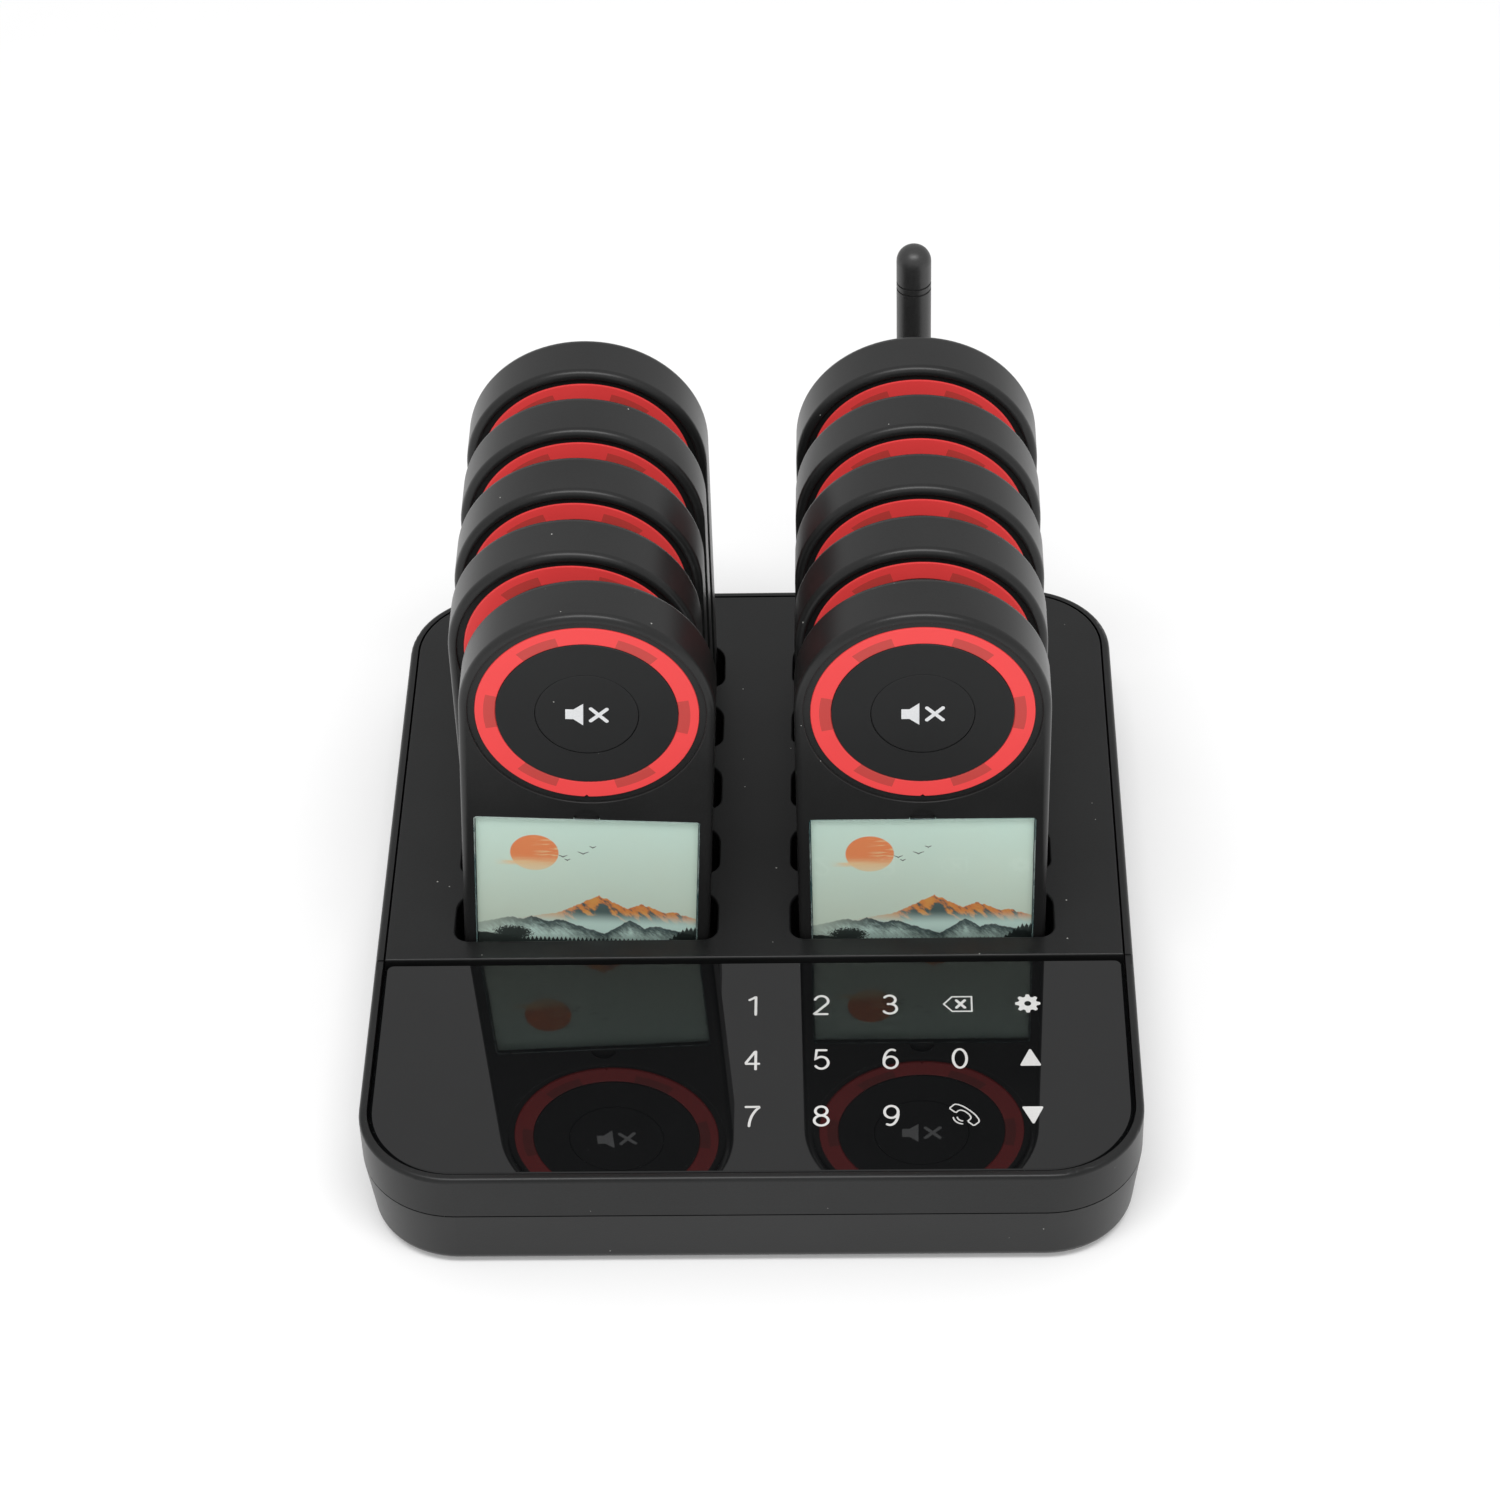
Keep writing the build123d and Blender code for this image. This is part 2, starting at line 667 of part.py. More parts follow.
def circuit_board():
    outline = Pos(0, (board_foot_z + head_z) / 2) * Rectangle(2 * board_half_width, head_z - board_foot_z)
    outline += Pos(0, head_z) * Circle(board_round)
    board = Pos(0, board_y, 0) * extrude(Plane.XZ * outline, -board_thickness)
    return board + disc_on_face(switch_radius, board_y - switch_height, board_y, 0, head_z)


def battery():
    wide, deep, high = battery_size
    return Pos(0, face_wall + deep / 2, battery_foot_z + high / 2) * Box(wide, deep, high)


def vibration_motor():
    """The motor can and the half-round weight on its shaft."""
    y = board_y + board_thickness + motor_radius
    z = head_z - board_round / 2
    can = Pos(-6, y, z) * Rot(0, 90, 0) * Cylinder(motor_radius, motor_length)
    shaft = Pos(motor_length / 2 - 6 + 2, y, z) * Rot(0, 90, 0) * Cylinder(0.4, 4)
    weight = Pos(motor_length / 2 - 6 + 2.5, y, z) * Rot(0, 90, 0) * Cylinder(motor_radius - 0.3, 3)
    cut_away = Box(4, 4 * motor_radius, 2 * motor_radius - 0.8)
    weight -= Pos(motor_length / 2 - 3.5, y, z - motor_radius) * cut_away
    return can + shaft + weight


def pager_buzzer():
    low = board_y + board_thickness
    buzzer = disc_on_face(pager_buzzer_radius, low, low + pager_buzzer_height, 0, head_z + board_round / 2)
    return buzzer - disc_on_face(1.0, low + 1, low + pager_buzzer_height + 1, 0, head_z + board_round / 2)


def contact_pad(x):
    wide, deep, high = contact_size
    return Pos(x, pager_thickness / 2, high / 2) * Box(wide, deep, high)


def charge_contacts():
    return [contact_pad(x) for x in (-contact_offset, contact_offset)]


def pager_screws():
    head_seat = pager_thickness - pager_screw_sink - pager_screw_head_height
    head_top = pager_thickness - pager_screw_sink
    heads = pager_posts(pager_screw_head, head_seat, head_top)
    shanks = pager_posts(pager_screw_radius, split_y - pager_screw_length, head_seat + 0.1)
    slots = pager_posts(0.6, head_top - 0.6, head_top + 1)
    return [head + shank - slot for head, shank, slot in zip(heads, shanks, slots)]


pager_pieces = {
    "front_shell": front_shell(),
    "rear_shell": rear_shell(),
    "light_ring": light_ring(),
    "face_disc": face_disc(),
    "mute_button": mute_button(),
    "display_window": display_window(),
    "picture_card": picture_card(),
    "circuit_board": circuit_board(),
    "battery": battery(),
    "vibration_motor": vibration_motor(),
    "buzzer": pager_buzzer(),
    "charge_contacts": group(charge_contacts()),
    "screws": group(pager_screws()),
}
own_nodes = ("light_ring", "mute_button")  # on every pager; the rest of 02 to 10 is one case node

os.makedirs("parts", exist_ok=True)

save("lower_shell", lower_shell())
save("upper_frame", upper_frame())
save("slot_deck", slot_deck())
save("touch_glass", touch_glass())
save("glass_carrier", glass_carrier())
save("touch_board", touch_board())
save("charging_well_left", charging_well(columns[0]))
save("charging_well_right", charging_well(columns[1]))
save("contact_boards", group(contact_boards()))
save("spring_pins", group(spring_pins()))
save("main_board", main_board())
save("base_buzzer", base_buzzer())
save("power_jack", power_jack())
save("rubber_feet", group(rubber_feet()))
save("case_screws", group(case_screws()))
save("antenna_connector", antenna_connector())
save("connector_nut", connector_nut())
save("antenna_elbow", antenna_elbow())
save("antenna_hinge_pin", antenna_hinge_pin())
save("antenna_whip", antenna_whip())

for number in range(1, 2 * rows + 1):
    row, column = divmod(number - 1, 2)
    seat = Pos(columns[column], pager_face_y + row * row_pitch, slot_floor)
    if number == 1:
        seat *= Pos(*first_pager_shift) * tipped_on_corner(first_pager_lean)
    label = f"pager_{number:02d}"
    for piece in pager_pieces if number == 1 else own_nodes:
        save(f"{label}_{piece}", seat * pager_pieces[piece])
    if number > 1:
        case = group(shape for piece, shape in pager_pieces.items() if piece not in own_nodes)
        save(f"{label}_case", seat * case)

print("origin to base centre", round(-origin_y, 3), "antenna axis", round(antenna_y - origin_y, 3))
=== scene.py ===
import bmesh
import bpy
import math
import numpy as np
from mathutils import Matrix, Vector


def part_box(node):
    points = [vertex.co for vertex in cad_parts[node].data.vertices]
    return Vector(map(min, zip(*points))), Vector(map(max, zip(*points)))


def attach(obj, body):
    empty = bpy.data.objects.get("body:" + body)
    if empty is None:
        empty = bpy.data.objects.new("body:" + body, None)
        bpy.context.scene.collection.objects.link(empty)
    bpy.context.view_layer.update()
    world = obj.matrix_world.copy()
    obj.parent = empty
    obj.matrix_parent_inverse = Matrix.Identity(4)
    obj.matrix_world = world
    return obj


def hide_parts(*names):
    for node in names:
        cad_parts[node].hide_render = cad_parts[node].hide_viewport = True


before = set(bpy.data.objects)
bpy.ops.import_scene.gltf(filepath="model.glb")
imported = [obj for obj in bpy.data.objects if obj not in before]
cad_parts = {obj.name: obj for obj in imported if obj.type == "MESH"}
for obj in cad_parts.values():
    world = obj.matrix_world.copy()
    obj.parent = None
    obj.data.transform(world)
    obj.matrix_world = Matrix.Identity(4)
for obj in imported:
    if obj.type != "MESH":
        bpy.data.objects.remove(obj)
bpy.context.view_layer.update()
mm = 0.001
pagerNumbers = range(1, 11)
print("frame loaded:", len(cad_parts), "nodes")

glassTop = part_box("touch_glass")[1].z
stance = {"buttonStep": 0.2, "firstLean": 3.0}  # button below the face, mm; first pager's lean, degrees


def pagerSeat(number):
    # the pager's own axes, from its head's centre in the plane of its face: x right, y in, z up
    low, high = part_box(f"pager_{number:02d}_mute_button")
    head = Vector(((low.x + high.x) / 2, low.y - stance["buttonStep"] * mm, (low.z + high.z) / 2))
    lean = math.radians(stance["firstLean"]) if number == 1 else 0.0
    return Matrix.Translation(head) @ Matrix.Rotation(lean, 4, "Y")


class Wiring:
    # short ways to add and join the nodes of one material or group
    def __init__(self, tree):
        self.nodes, self.links = tree.nodes, tree.links

    def put(self, socket, value):
        if isinstance(value, bpy.types.NodeSocket):
            self.links.new(value, socket)
        elif isinstance(value, tuple) and len(value) == 3 and socket.type == "RGBA":
            socket.default_value = (*value, 1)
        else:
            socket.default_value = value

    def math(self, operation, a, b=None, c=None):
        node = self.nodes.new("ShaderNodeMath")
        node.operation = operation
        for n, value in enumerate((a, b, c)):
            if value is not None:
                self.put(node.inputs[n], value)
        return node.outputs[0]

    def spread(self, value, low, high, toLow=0.0, toHigh=1.0, smooth=False):
        node = self.nodes.new("ShaderNodeMapRange")
        node.interpolation_type = "SMOOTHSTEP" if smooth else "LINEAR"
        for n, item in enumerate((value, low, high, toLow, toHigh)):
            self.put(node.inputs[n], item)
        return node.outputs[0]

    def mix(self, factor, low, high, blend="MIX"):
        node = self.nodes.new("ShaderNodeMix")
        node.data_type, node.blend_type = "RGBA", blend
        for socket, value in zip((node.inputs[0], node.inputs[6], node.inputs[7]), (factor, low, high)):
            self.put(socket, value)
        return node.outputs[2]

    def noise(self, vector, scale, detail=2.0, rough=0.5):
        node = self.nodes.new("ShaderNodeTexNoise")
        for label, value in (("Vector", vector), ("Scale", scale), ("Detail", detail), ("Roughness", rough)):
            self.put(node.inputs[label], value)
        return node.outputs[0]

    def combine(self, x, y, z=0.0):
        node = self.nodes.new("ShaderNodeCombineXYZ")
        for n, value in enumerate((x, y, z)):
            self.put(node.inputs[n], value)
        return node.outputs[0]

    def group(self, tree, **values):
        node = self.nodes.new("ShaderNodeGroup")
        node.node_tree = tree
        for label, value in values.items():
            self.put(node.inputs[label], value)
        return node.outputs


def newGroup(name, inputs, outputs):
    tree = bpy.data.node_groups.new(name, "ShaderNodeTree")
    for label, kind, value in inputs:
        socket = tree.interface.new_socket(name=label, in_out="INPUT", socket_type=kind)
        if value is not None:
            socket.default_value = value
    for label, kind in outputs:
        tree.interface.new_socket(name=label, in_out="OUTPUT", socket_type=kind)
    w = Wiring(tree)
    return tree, w, w.nodes.new("NodeGroupInput").outputs, w.nodes.new("NodeGroupOutput").inputs


def makeGrain():
    # moulded texture: a tight noise for the grain, and with a slow one the uneven tone
    tree, w, take, give = newGroup(
        "mouldedGrain",
        [("Where", "NodeSocketVector", None), ("Grain", "NodeSocketFloat", 2200.0),
         ("Cloud", "NodeSocketFloat", 30.0)],
        [("Height", "NodeSocketFloat"), ("Tone", "NodeSocketFloat")])
    fine = w.noise(take["Where"], take["Grain"], 2.5, 0.62)
    cloud = w.noise(take["Where"], take["Cloud"], 4.0)
    w.put(give["Height"], fine)
    w.put(give["Tone"], w.math("ADD", w.math("MULTIPLY", cloud, 0.6), w.math("MULTIPLY", fine, 0.4)))
    return tree


def makeDust():
    # dust: a small round speck, of uneven size, in a few of the cells of a cell pattern
    tree, w, take, give = newGroup(
        "dustSpecks",
        [("Where", "NodeSocketVector", None), ("Cells", "NodeSocketFloat", 230.0),
         ("Size", "NodeSocketFloat", 0.03), ("Share", "NodeSocketFloat", 0.16)],
        [("Mask", "NodeSocketFloat")])
    cell = w.nodes.new("ShaderNodeTexVoronoi")
    w.put(cell.inputs["Vector"], take["Where"])
    w.put(cell.inputs["Scale"], take["Cells"])
    pick = w.nodes.new("ShaderNodeSeparateColor")
    w.put(pick.inputs[0], cell.outputs["Color"])
    chosen = w.math("LESS_THAN", pick.outputs[0], take["Share"])
    reach = w.math("MULTIPLY", take["Size"], w.spread(pick.outputs[1], 0.0, 1.0, 0.35, 1.0))
    w.put(give["Mask"], w.math("MULTIPLY", w.math("LESS_THAN", cell.outputs["Distance"], reach), chosen))
    return tree


grainGroup, dustGroup = makeGrain(), makeDust()


def newMaterial(name):
    made = bpy.data.materials.new(name)
    made.use_nodes = True
    w = Wiring(made.node_tree)
    where = w.nodes.new("ShaderNodeTexCoord").outputs["Object"]
    return made, w, w.nodes["Principled BSDF"].inputs, where


def addBump(w, shader, height, strength, depth=0.05):
    relief = w.nodes.new("ShaderNodeBump")
    w.put(relief.inputs["Strength"], strength)
    w.put(relief.inputs["Distance"], depth * mm)
    w.put(relief.inputs["Height"], height)
    w.put(shader["Normal"], relief.outputs["Normal"])


def mouldedPlastic(name, dark, light, rough, grain=2200.0, bump=0.12, dust=0.3, cells=230.0, speck=0.05,
                   level=0.5):
    # dyed plastic: tone and gloss follow the grain, with a few pale specks of dust
    made, w, shader, where = newMaterial(name)
    texture = w.group(grainGroup, Where=where, Grain=grain)
    colour = w.mix(w.spread(texture["Tone"], 0.35, 0.65), dark, light)
    if dust > 0:
        specks = w.group(dustGroup, Where=where, Cells=cells, Size=speck, Share=dust)
        colour = w.mix(specks["Mask"], colour, (0.42, 0.42, 0.4))
    w.put(shader["Base Color"], colour)
    w.put(shader["Roughness"], w.spread(texture["Tone"], 0.3, 0.7, *rough))
    shader["Specular IOR Level"].default_value = level
    addBump(w, shader, texture["Height"], bump)
    return made


def metalFinish(name, colour, rough, grain=900.0):
    # plated or brushed metal, a little uneven in tone and gloss
    made, w, shader, where = newMaterial(name)
    texture = w.group(grainGroup, Where=where, Grain=grain)
    w.put(shader["Base Color"], w.mix(texture["Tone"], tuple(0.72 * c for c in colour), colour))
    w.put(shader["Roughness"], w.spread(texture["Tone"], 0.3, 0.7, rough, rough + 0.15))
    shader["Metallic"].default_value = 1.0
    addBump(w, shader, texture["Height"], 0.05)
    return made


def glassPrint(name, glass):
    # toughened glass over a black print: mirror-smooth, with a few specks and faint smears
    made, w, shader, where = newMaterial(name)
    smear = w.group(grainGroup, Where=where, Grain=90.0)
    specks = w.group(dustGroup, Where=where, Cells=150.0, Size=0.02, Share=0.1)
    base = w.mix(smear["Tone"], glass["printDark"], glass["printLight"])
    w.put(shader["Base Color"], w.mix(specks["Mask"], base, (0.14, 0.14, 0.13)))
    w.put(shader["Roughness"], w.spread(smear["Tone"], 0.35, 0.75, *glass["rough"]))
    shader["IOR"].default_value = glass["ior"]
    return made


def ringPlastic(name, colour, paintedGlowColour, glow):
    # frosted light guide: a mottled red with a painted glow, an emission that brightens it past what the
    # lamps give
    made, w, shader, where = newMaterial(name)
    texture = w.group(grainGroup, Where=where, Grain=1500.0, Cloud=90.0)
    w.put(shader["Base Color"], w.mix(texture["Tone"], tuple(0.9 * c for c in colour), colour))
    # painted glow: emission colour and strength stand in for light the lamps don't give
    w.put(shader["Emission Color"], w.mix(texture["Tone"], tuple(0.95 * c for c in paintedGlowColour), paintedGlowColour))
    shader["Emission Strength"].default_value = glow
    w.put(shader["Roughness"], w.spread(texture["Tone"], 0.3, 0.7, 0.42, 0.55))
    addBump(w, shader, texture["Height"], 0.08)
    return made


def clearCover(name):
    # thin clear cover: a mirror as strong as its gloss where it faces out, and open elsewhere
    made, w, shader, where = newMaterial(name)
    texture = w.group(grainGroup, Where=where, Grain=160.0)
    gloss = w.nodes.new("ShaderNodeFresnel")
    gloss.inputs["IOR"].default_value = 1.4
    facing = w.nodes.new("ShaderNodeNewGeometry").outputs["Backfacing"]
    shader["Base Color"].default_value = (1.0, 1.0, 1.0, 1)
    shader["Metallic"].default_value = 1.0
    w.put(shader["Alpha"], w.math("MULTIPLY", gloss.outputs[0], w.math("SUBTRACT", 1.0, facing)))
    w.put(shader["Roughness"], w.spread(texture["Tone"], 0.3, 0.8, 0.02, 0.06))
    return made


def coverEdge(name):
    # the cover's cut edge, painted pale as a highlight where it catches light, with a painted teal reflection
    # of the card that comes and goes
    made, w, shader, where = newMaterial(name)
    texture = w.group(grainGroup, Where=where, Grain=300.0, Cloud=70.0)
    paintedEdgeLight = w.spread(texture["Tone"], 0.4, 0.6)
    w.put(shader["Base Color"], w.mix(paintedEdgeLight, (0.1, 0.24, 0.24), (0.42, 0.5, 0.47)))
    w.put(shader["Alpha"], w.spread(texture["Tone"], 0.35, 0.65, 0.3, 0.6))
    w.put(shader["Roughness"], w.spread(texture["Tone"], 0.3, 0.7, 0.15, 0.25))
    return made


def boardMask(name, low, high):
    # solder mask over rows of tracks
    made, w, shader, where = newMaterial(name)
    tracks = w.nodes.new("ShaderNodeTexBrick")
    joint = (*(0.6 * c for c in low), 1)
    for label, value in (("Vector", where), ("Scale", 160.0), ("Color1", (*low, 1)),
                         ("Color2", (*high, 1)), ("Mortar", joint)):
        w.put(tracks.inputs[label], value)
    texture = w.group(grainGroup, Where=where)
    w.put(shader["Base Color"], tracks.outputs["Color"])
    w.put(shader["Roughness"], w.spread(texture["Tone"], 0.3, 0.7, 0.25, 0.4))
    return made


picture = {
    "wide": 54.9, "high": 45.3,                    # printed card, mm
    "skyTop": (0.64, 0.83, 0.73), "skyLow": (0.67, 0.79, 0.66),
    "sun": (14.4, 33.0, 6.0), "sunHot": (0.84, 0.27, 0.1), "sunPale": (0.86, 0.62, 0.34),
    "farPeaks": ((30.5, 18.8, 0.62), (41.2, 16.2, 0.5), (48.8, 13.8, 0.38), (20.5, 12.6, 0.22)),
    "farWarm": (0.78, 0.36, 0.09), "farHot": (0.72, 0.19, 0.06), "farShade": (0.085, 0.135, 0.13),
    "hillPeaks": ((8.6, 10.6, 0.26), (13.6, 11.2, 0.5), (20.5, 10.2, 0.42), (38.3, 10.6, 0.8),
                  (45.0, 8.6, 0.3)),
    "hillDark": (0.035, 0.06, 0.062), "mist": (0.62, 0.82, 0.74), "shrub": (0.008, 0.013, 0.012),
    "birds": ((21.5, 32.0, 1.1), (22.6, 30.9, 0.75), (26.5, 33.2, 1.4), (28.9, 35.4, 0.85)),
    "bird": (0.06, 0.065, 0.06),
}


def makePicture():
    # a landscape painted from the card's own u and v: each range is the highest of several tents,
    # roughened by noise, and fades into mist downwards
    tree, w, take, give = newGroup("cardPicture", [("Where", "NodeSocketVector", None)],
                                   [("Color", "NodeSocketColor")])
    split = w.nodes.new("ShaderNodeSeparateXYZ")
    w.put(split.inputs[0], take["Where"])
    x = w.math("MULTIPLY", split.outputs[0], picture["wide"])
    y = w.math("MULTIPLY", split.outputs[1], picture["high"])
    flat = w.combine(x, y)
    fine = w.noise(flat, 1.6, 5.0, 0.65)
    soft = w.noise(flat, 0.12, 3.0)
    banks = w.noise(w.combine(w.math("MULTIPLY", x, 0.16), w.math("MULTIPLY", y, 0.95)), 1.0, 4.0, 0.55)

    sky = w.mix(w.spread(w.math("ADD", y, w.math("MULTIPLY", soft, 14.0)), 18.0, 52.0),
                picture["skyLow"], picture["skyTop"])

    # sun, crossed by cloud on its right and melting into haze below
    sunX, sunY, sunR = picture["sun"]
    dx, dy = w.math("SUBTRACT", x, sunX), w.math("SUBTRACT", y, sunY)
    away = w.math("SQRT", w.math("ADD", w.math("MULTIPLY", dx, dx), w.math("MULTIPLY", dy, dy)))
    disc = w.spread(away, sunR - 0.12, sunR + 0.12, 1.0, 0.0)
    haze = w.spread(w.math("ADD", dy, w.math("MULTIPLY", banks, 3.0)), -3.4, 1.0, 1.0, 0.0, True)
    veil = w.math("MULTIPLY", w.spread(banks, 0.5, 0.62, smooth=True), w.spread(dx, -1.0, 3.5))
    hidden = w.math("MAXIMUM", haze, w.math("MULTIPLY", veil, 0.8))
    glow = w.mix(hidden, picture["sunHot"], picture["sunPale"])
    painted = w.mix(w.math("MULTIPLY", disc, w.spread(dy, -6.0, -3.0, 0.72, 1.0)), sky, glow)

    # cloud streak at the sun's foot
    offLevel = w.math("ABSOLUTE", w.math("SUBTRACT", y, 29.6))
    along = w.math("MULTIPLY", w.spread(x, 3.5, 9.0, smooth=True), w.spread(x, 12.5, 18.0, 1.0, 0.0, True))
    streak = w.math("MULTIPLY", w.spread(offLevel, 0.2, 1.3, 1.0, 0.0, True), along)
    band = w.math("MULTIPLY", streak, w.spread(banks, 0.4, 0.58, 0.1, 0.85))
    painted = w.mix(band, painted, picture["sunPale"])

    def ridge(peaks, rough):
        # the highest tent at x, with a rough edge
        top = None
        for middle, height, slope in peaks:
            offPeak = w.math("ABSOLUTE", w.math("SUBTRACT", x, middle))
            tent = w.math("SUBTRACT", height, w.math("MULTIPLY", offPeak, slope))
            top = tent if top is None else w.math("MAXIMUM", top, tent)
        edge = w.noise(w.combine(x, 0.0, float(len(peaks))), 0.75, 6.0, 0.6)
        return w.math("ADD", top, w.math("MULTIPLY", w.math("SUBTRACT", edge, 0.5), rough))

    # far range: lit slopes and shaded gullies
    top = ridge(picture["farPeaks"], 2.6)
    inside = w.spread(w.math("SUBTRACT", top, y), 0.0, 0.22)
    slant = w.noise(w.combine(w.math("ADD", w.math("MULTIPLY", x, 0.42), w.math("MULTIPLY", y, 0.3)),
                              w.math("MULTIPLY", y, 0.22)), 1.0, 5.0, 0.62)
    lit = w.mix(w.spread(slant, 0.38, 0.62), picture["farWarm"], picture["farHot"])
    gully = w.spread(w.math("ADD", slant, w.math("MULTIPLY", w.math("SUBTRACT", top, y), 0.035)), 0.56, 0.64)
    rock = w.mix(gully, lit, picture["farShade"])
    rock = w.mix(w.spread(y, 13.4, 8.4, smooth=True), rock, picture["mist"])
    painted = w.mix(w.math("MULTIPLY", inside, w.spread(x, 5.0, 26.0, 0.15, 1.0)), painted, rock)

    # near hills, dark along the crest
    top = ridge(picture["hillPeaks"], 1.8)
    inside = w.spread(w.math("SUBTRACT", top, y), 0.0, 0.25)
    creases = w.combine(w.math("ADD", x, w.math("MULTIPLY", y, 0.8)), w.math("MULTIPLY", y, 0.5))
    creases = w.math("MULTIPLY", w.math("SUBTRACT", w.noise(creases, 1.1, 6.0, 0.7), 0.5), 9.0)
    depth = w.math("ADD", w.math("SUBTRACT", top, y), creases)
    hill = w.mix(w.spread(depth, 0.2, 6.0, smooth=True), picture["hillDark"], picture["mist"])
    painted = w.mix(w.math("MULTIPLY", inside, w.spread(x, 2.0, 15.0, 0.35, 0.95)), painted, hill)

    # shrubs at the left foot, firs at the right, and the dark bank under both
    leaf = w.noise(flat, 1.9, 6.0, 0.75)
    bushX = w.math("DIVIDE", w.math("SUBTRACT", x, 8.8), 5.8)
    bushY = w.math("DIVIDE", w.math("SUBTRACT", y, 4.9), 2.9)
    bush = w.math("ADD", w.math("MULTIPLY", bushX, bushX), w.math("MULTIPLY", bushY, bushY))
    shrubs = w.spread(w.math("ADD", bush, w.math("MULTIPLY", leaf, 3.0)), 2.05, 2.2, 1.0, 0.0)
    tooth = w.math("ABSOLUTE", w.math("SUBTRACT", w.math("FRACT", w.math("MULTIPLY", x, 0.95)), 0.5))
    firTop = w.math("ADD", w.math("MULTIPLY", tooth, 2.6), w.spread(x, 47.5, 52.5, 2.0, 6.6))
    firTop = w.math("ADD", firTop, w.math("MULTIPLY", fine, 1.4))
    firs = w.spread(w.math("SUBTRACT", firTop, y), 0.0, 0.2)
    bank = w.math("ADD", w.spread(w.math("ABSOLUTE", w.math("SUBTRACT", x, 29.0)), 8.0, 27.0, 0.6, 4.6),
                  w.math("MULTIPLY", fine, 0.8))
    bank = w.spread(w.math("SUBTRACT", bank, y), 0.0, 0.2)
    dark = w.math("MAXIMUM", w.math("MAXIMUM", shrubs, firs), bank)
    painted = w.mix(w.math("MULTIPLY", dark, 0.96), painted, picture["shrub"])

    # birds: a shallow V for each
    for birdX, birdY, span in picture["birds"]:
        out = w.math("ABSOLUTE", w.math("SUBTRACT", x, birdX))
        wing = w.math("ADD", birdY - 0.3, w.math("MULTIPLY", w.math("POWER", out, 0.75), 0.62))
        near = w.math("ABSOLUTE", w.math("SUBTRACT", y, wing))
        body = w.spread(out, 0.0, span, 0.22, 0.08)
        mask = w.math("MULTIPLY", w.math("LESS_THAN", near, body), w.math("LESS_THAN", out, span))
        painted = w.mix(w.math("MULTIPLY", mask, 0.9), painted, picture["bird"])
    w.put(give["Color"], painted)
    return tree


def printedCard(name):
    # printed card with a fine paper tooth
    made, w, shader, where = newMaterial(name)
    uv = w.nodes.new("ShaderNodeUVMap")
    uv.uv_map = "cardMap"
    texture = w.group(grainGroup, Where=where, Grain=1800.0)
    drawn = w.group(makePicture(), Where=uv.outputs[0])["Color"]
    drawn = w.mix(0.12, drawn, w.mix(texture["Tone"], (0.55, 0.55, 0.55), (1.0, 1.0, 1.0)), "MULTIPLY")
    w.put(shader["Base Color"], drawn)
    w.put(shader["Roughness"], w.spread(texture["Tone"], 0.3, 0.7, 0.5, 0.65))
    return made


keypadGlass = {"printDark": (0.0026, 0.0028, 0.003), "printLight": (0.005, 0.0053, 0.0056),
               "rough": (0.012, 0.035), "ior": 1.5}
finishes = {
    "casePlastic": mouldedPlastic("casePlastic", (0.0068, 0.007, 0.0071), (0.0112, 0.0116, 0.0118),
                                  (0.29, 0.39), bump=0.32, level=0.29),
    "pagerPlastic": mouldedPlastic("pagerPlastic", (0.0105, 0.0106, 0.0106), (0.0165, 0.0167, 0.0167),
                                   (0.28, 0.38), bump=0.14, level=0.3),
    "discPlastic": mouldedPlastic("discPlastic", (0.0048, 0.0051, 0.0053), (0.0092, 0.0097, 0.0101),
                                  (0.55, 0.68), grain=2800.0, bump=0.25, dust=0.3, cells=300.0, level=0.4),
    "wellPlastic": mouldedPlastic("wellPlastic", (0.005, 0.005, 0.005), (0.01, 0.01, 0.01), (0.5, 0.62)),
    "antennaRubber": mouldedPlastic("antennaRubber", (0.019, 0.019, 0.019), (0.033, 0.033, 0.033),
                                    (0.33, 0.45), grain=1500.0, bump=0.3, dust=0.08),
    "footRubber": mouldedPlastic("footRubber", (0.012, 0.012, 0.012), (0.03, 0.03, 0.03), (0.7, 0.85),
                                 1200.0, 0.4),
    "partPlastic": mouldedPlastic("partPlastic", (0.01, 0.01, 0.01), (0.025, 0.025, 0.025), (0.35, 0.5),
                                  dust=0.0),
    "keypadGlass": glassPrint("keypadGlass", keypadGlass),
    # both ring finishes carry a painted glow: their last two values are its colour and strength
    "ringRed": ringPlastic("ringRed", (0.66, 0.042, 0.045), (1.0, 0.07, 0.065), 0.255),
    "ringWindow": ringPlastic("ringWindow", (0.4, 0.034, 0.03), (1.0, 0.1, 0.085), 0.175),
    "coverClear": clearCover("coverClear"),
    "coverEdge": coverEdge("coverEdge"),
    "cardInk": printedCard("cardInk"),
    "boardGreen": boardMask("boardGreen", (0.01, 0.09, 0.035), (0.015, 0.12, 0.05)),
    "contactGold": metalFinish("contactGold", (0.9, 0.66, 0.28), 0.22),
    "screwSteel": metalFinish("screwSteel", (0.52, 0.52, 0.53), 0.28),
    "batteryFoil": metalFinish("batteryFoil", (0.62, 0.64, 0.67), 0.35, 400.0),
    "markPale": mouldedPlastic("markPale", (0.54, 0.54, 0.53), (0.66, 0.66, 0.65), (0.4, 0.5),
                               dust=0.0, bump=0.02),
    "iconWhite": mouldedPlastic("iconWhite", (0.68, 0.69, 0.7), (0.82, 0.83, 0.84), (0.4, 0.5),
                                dust=0.0, bump=0.02),
}
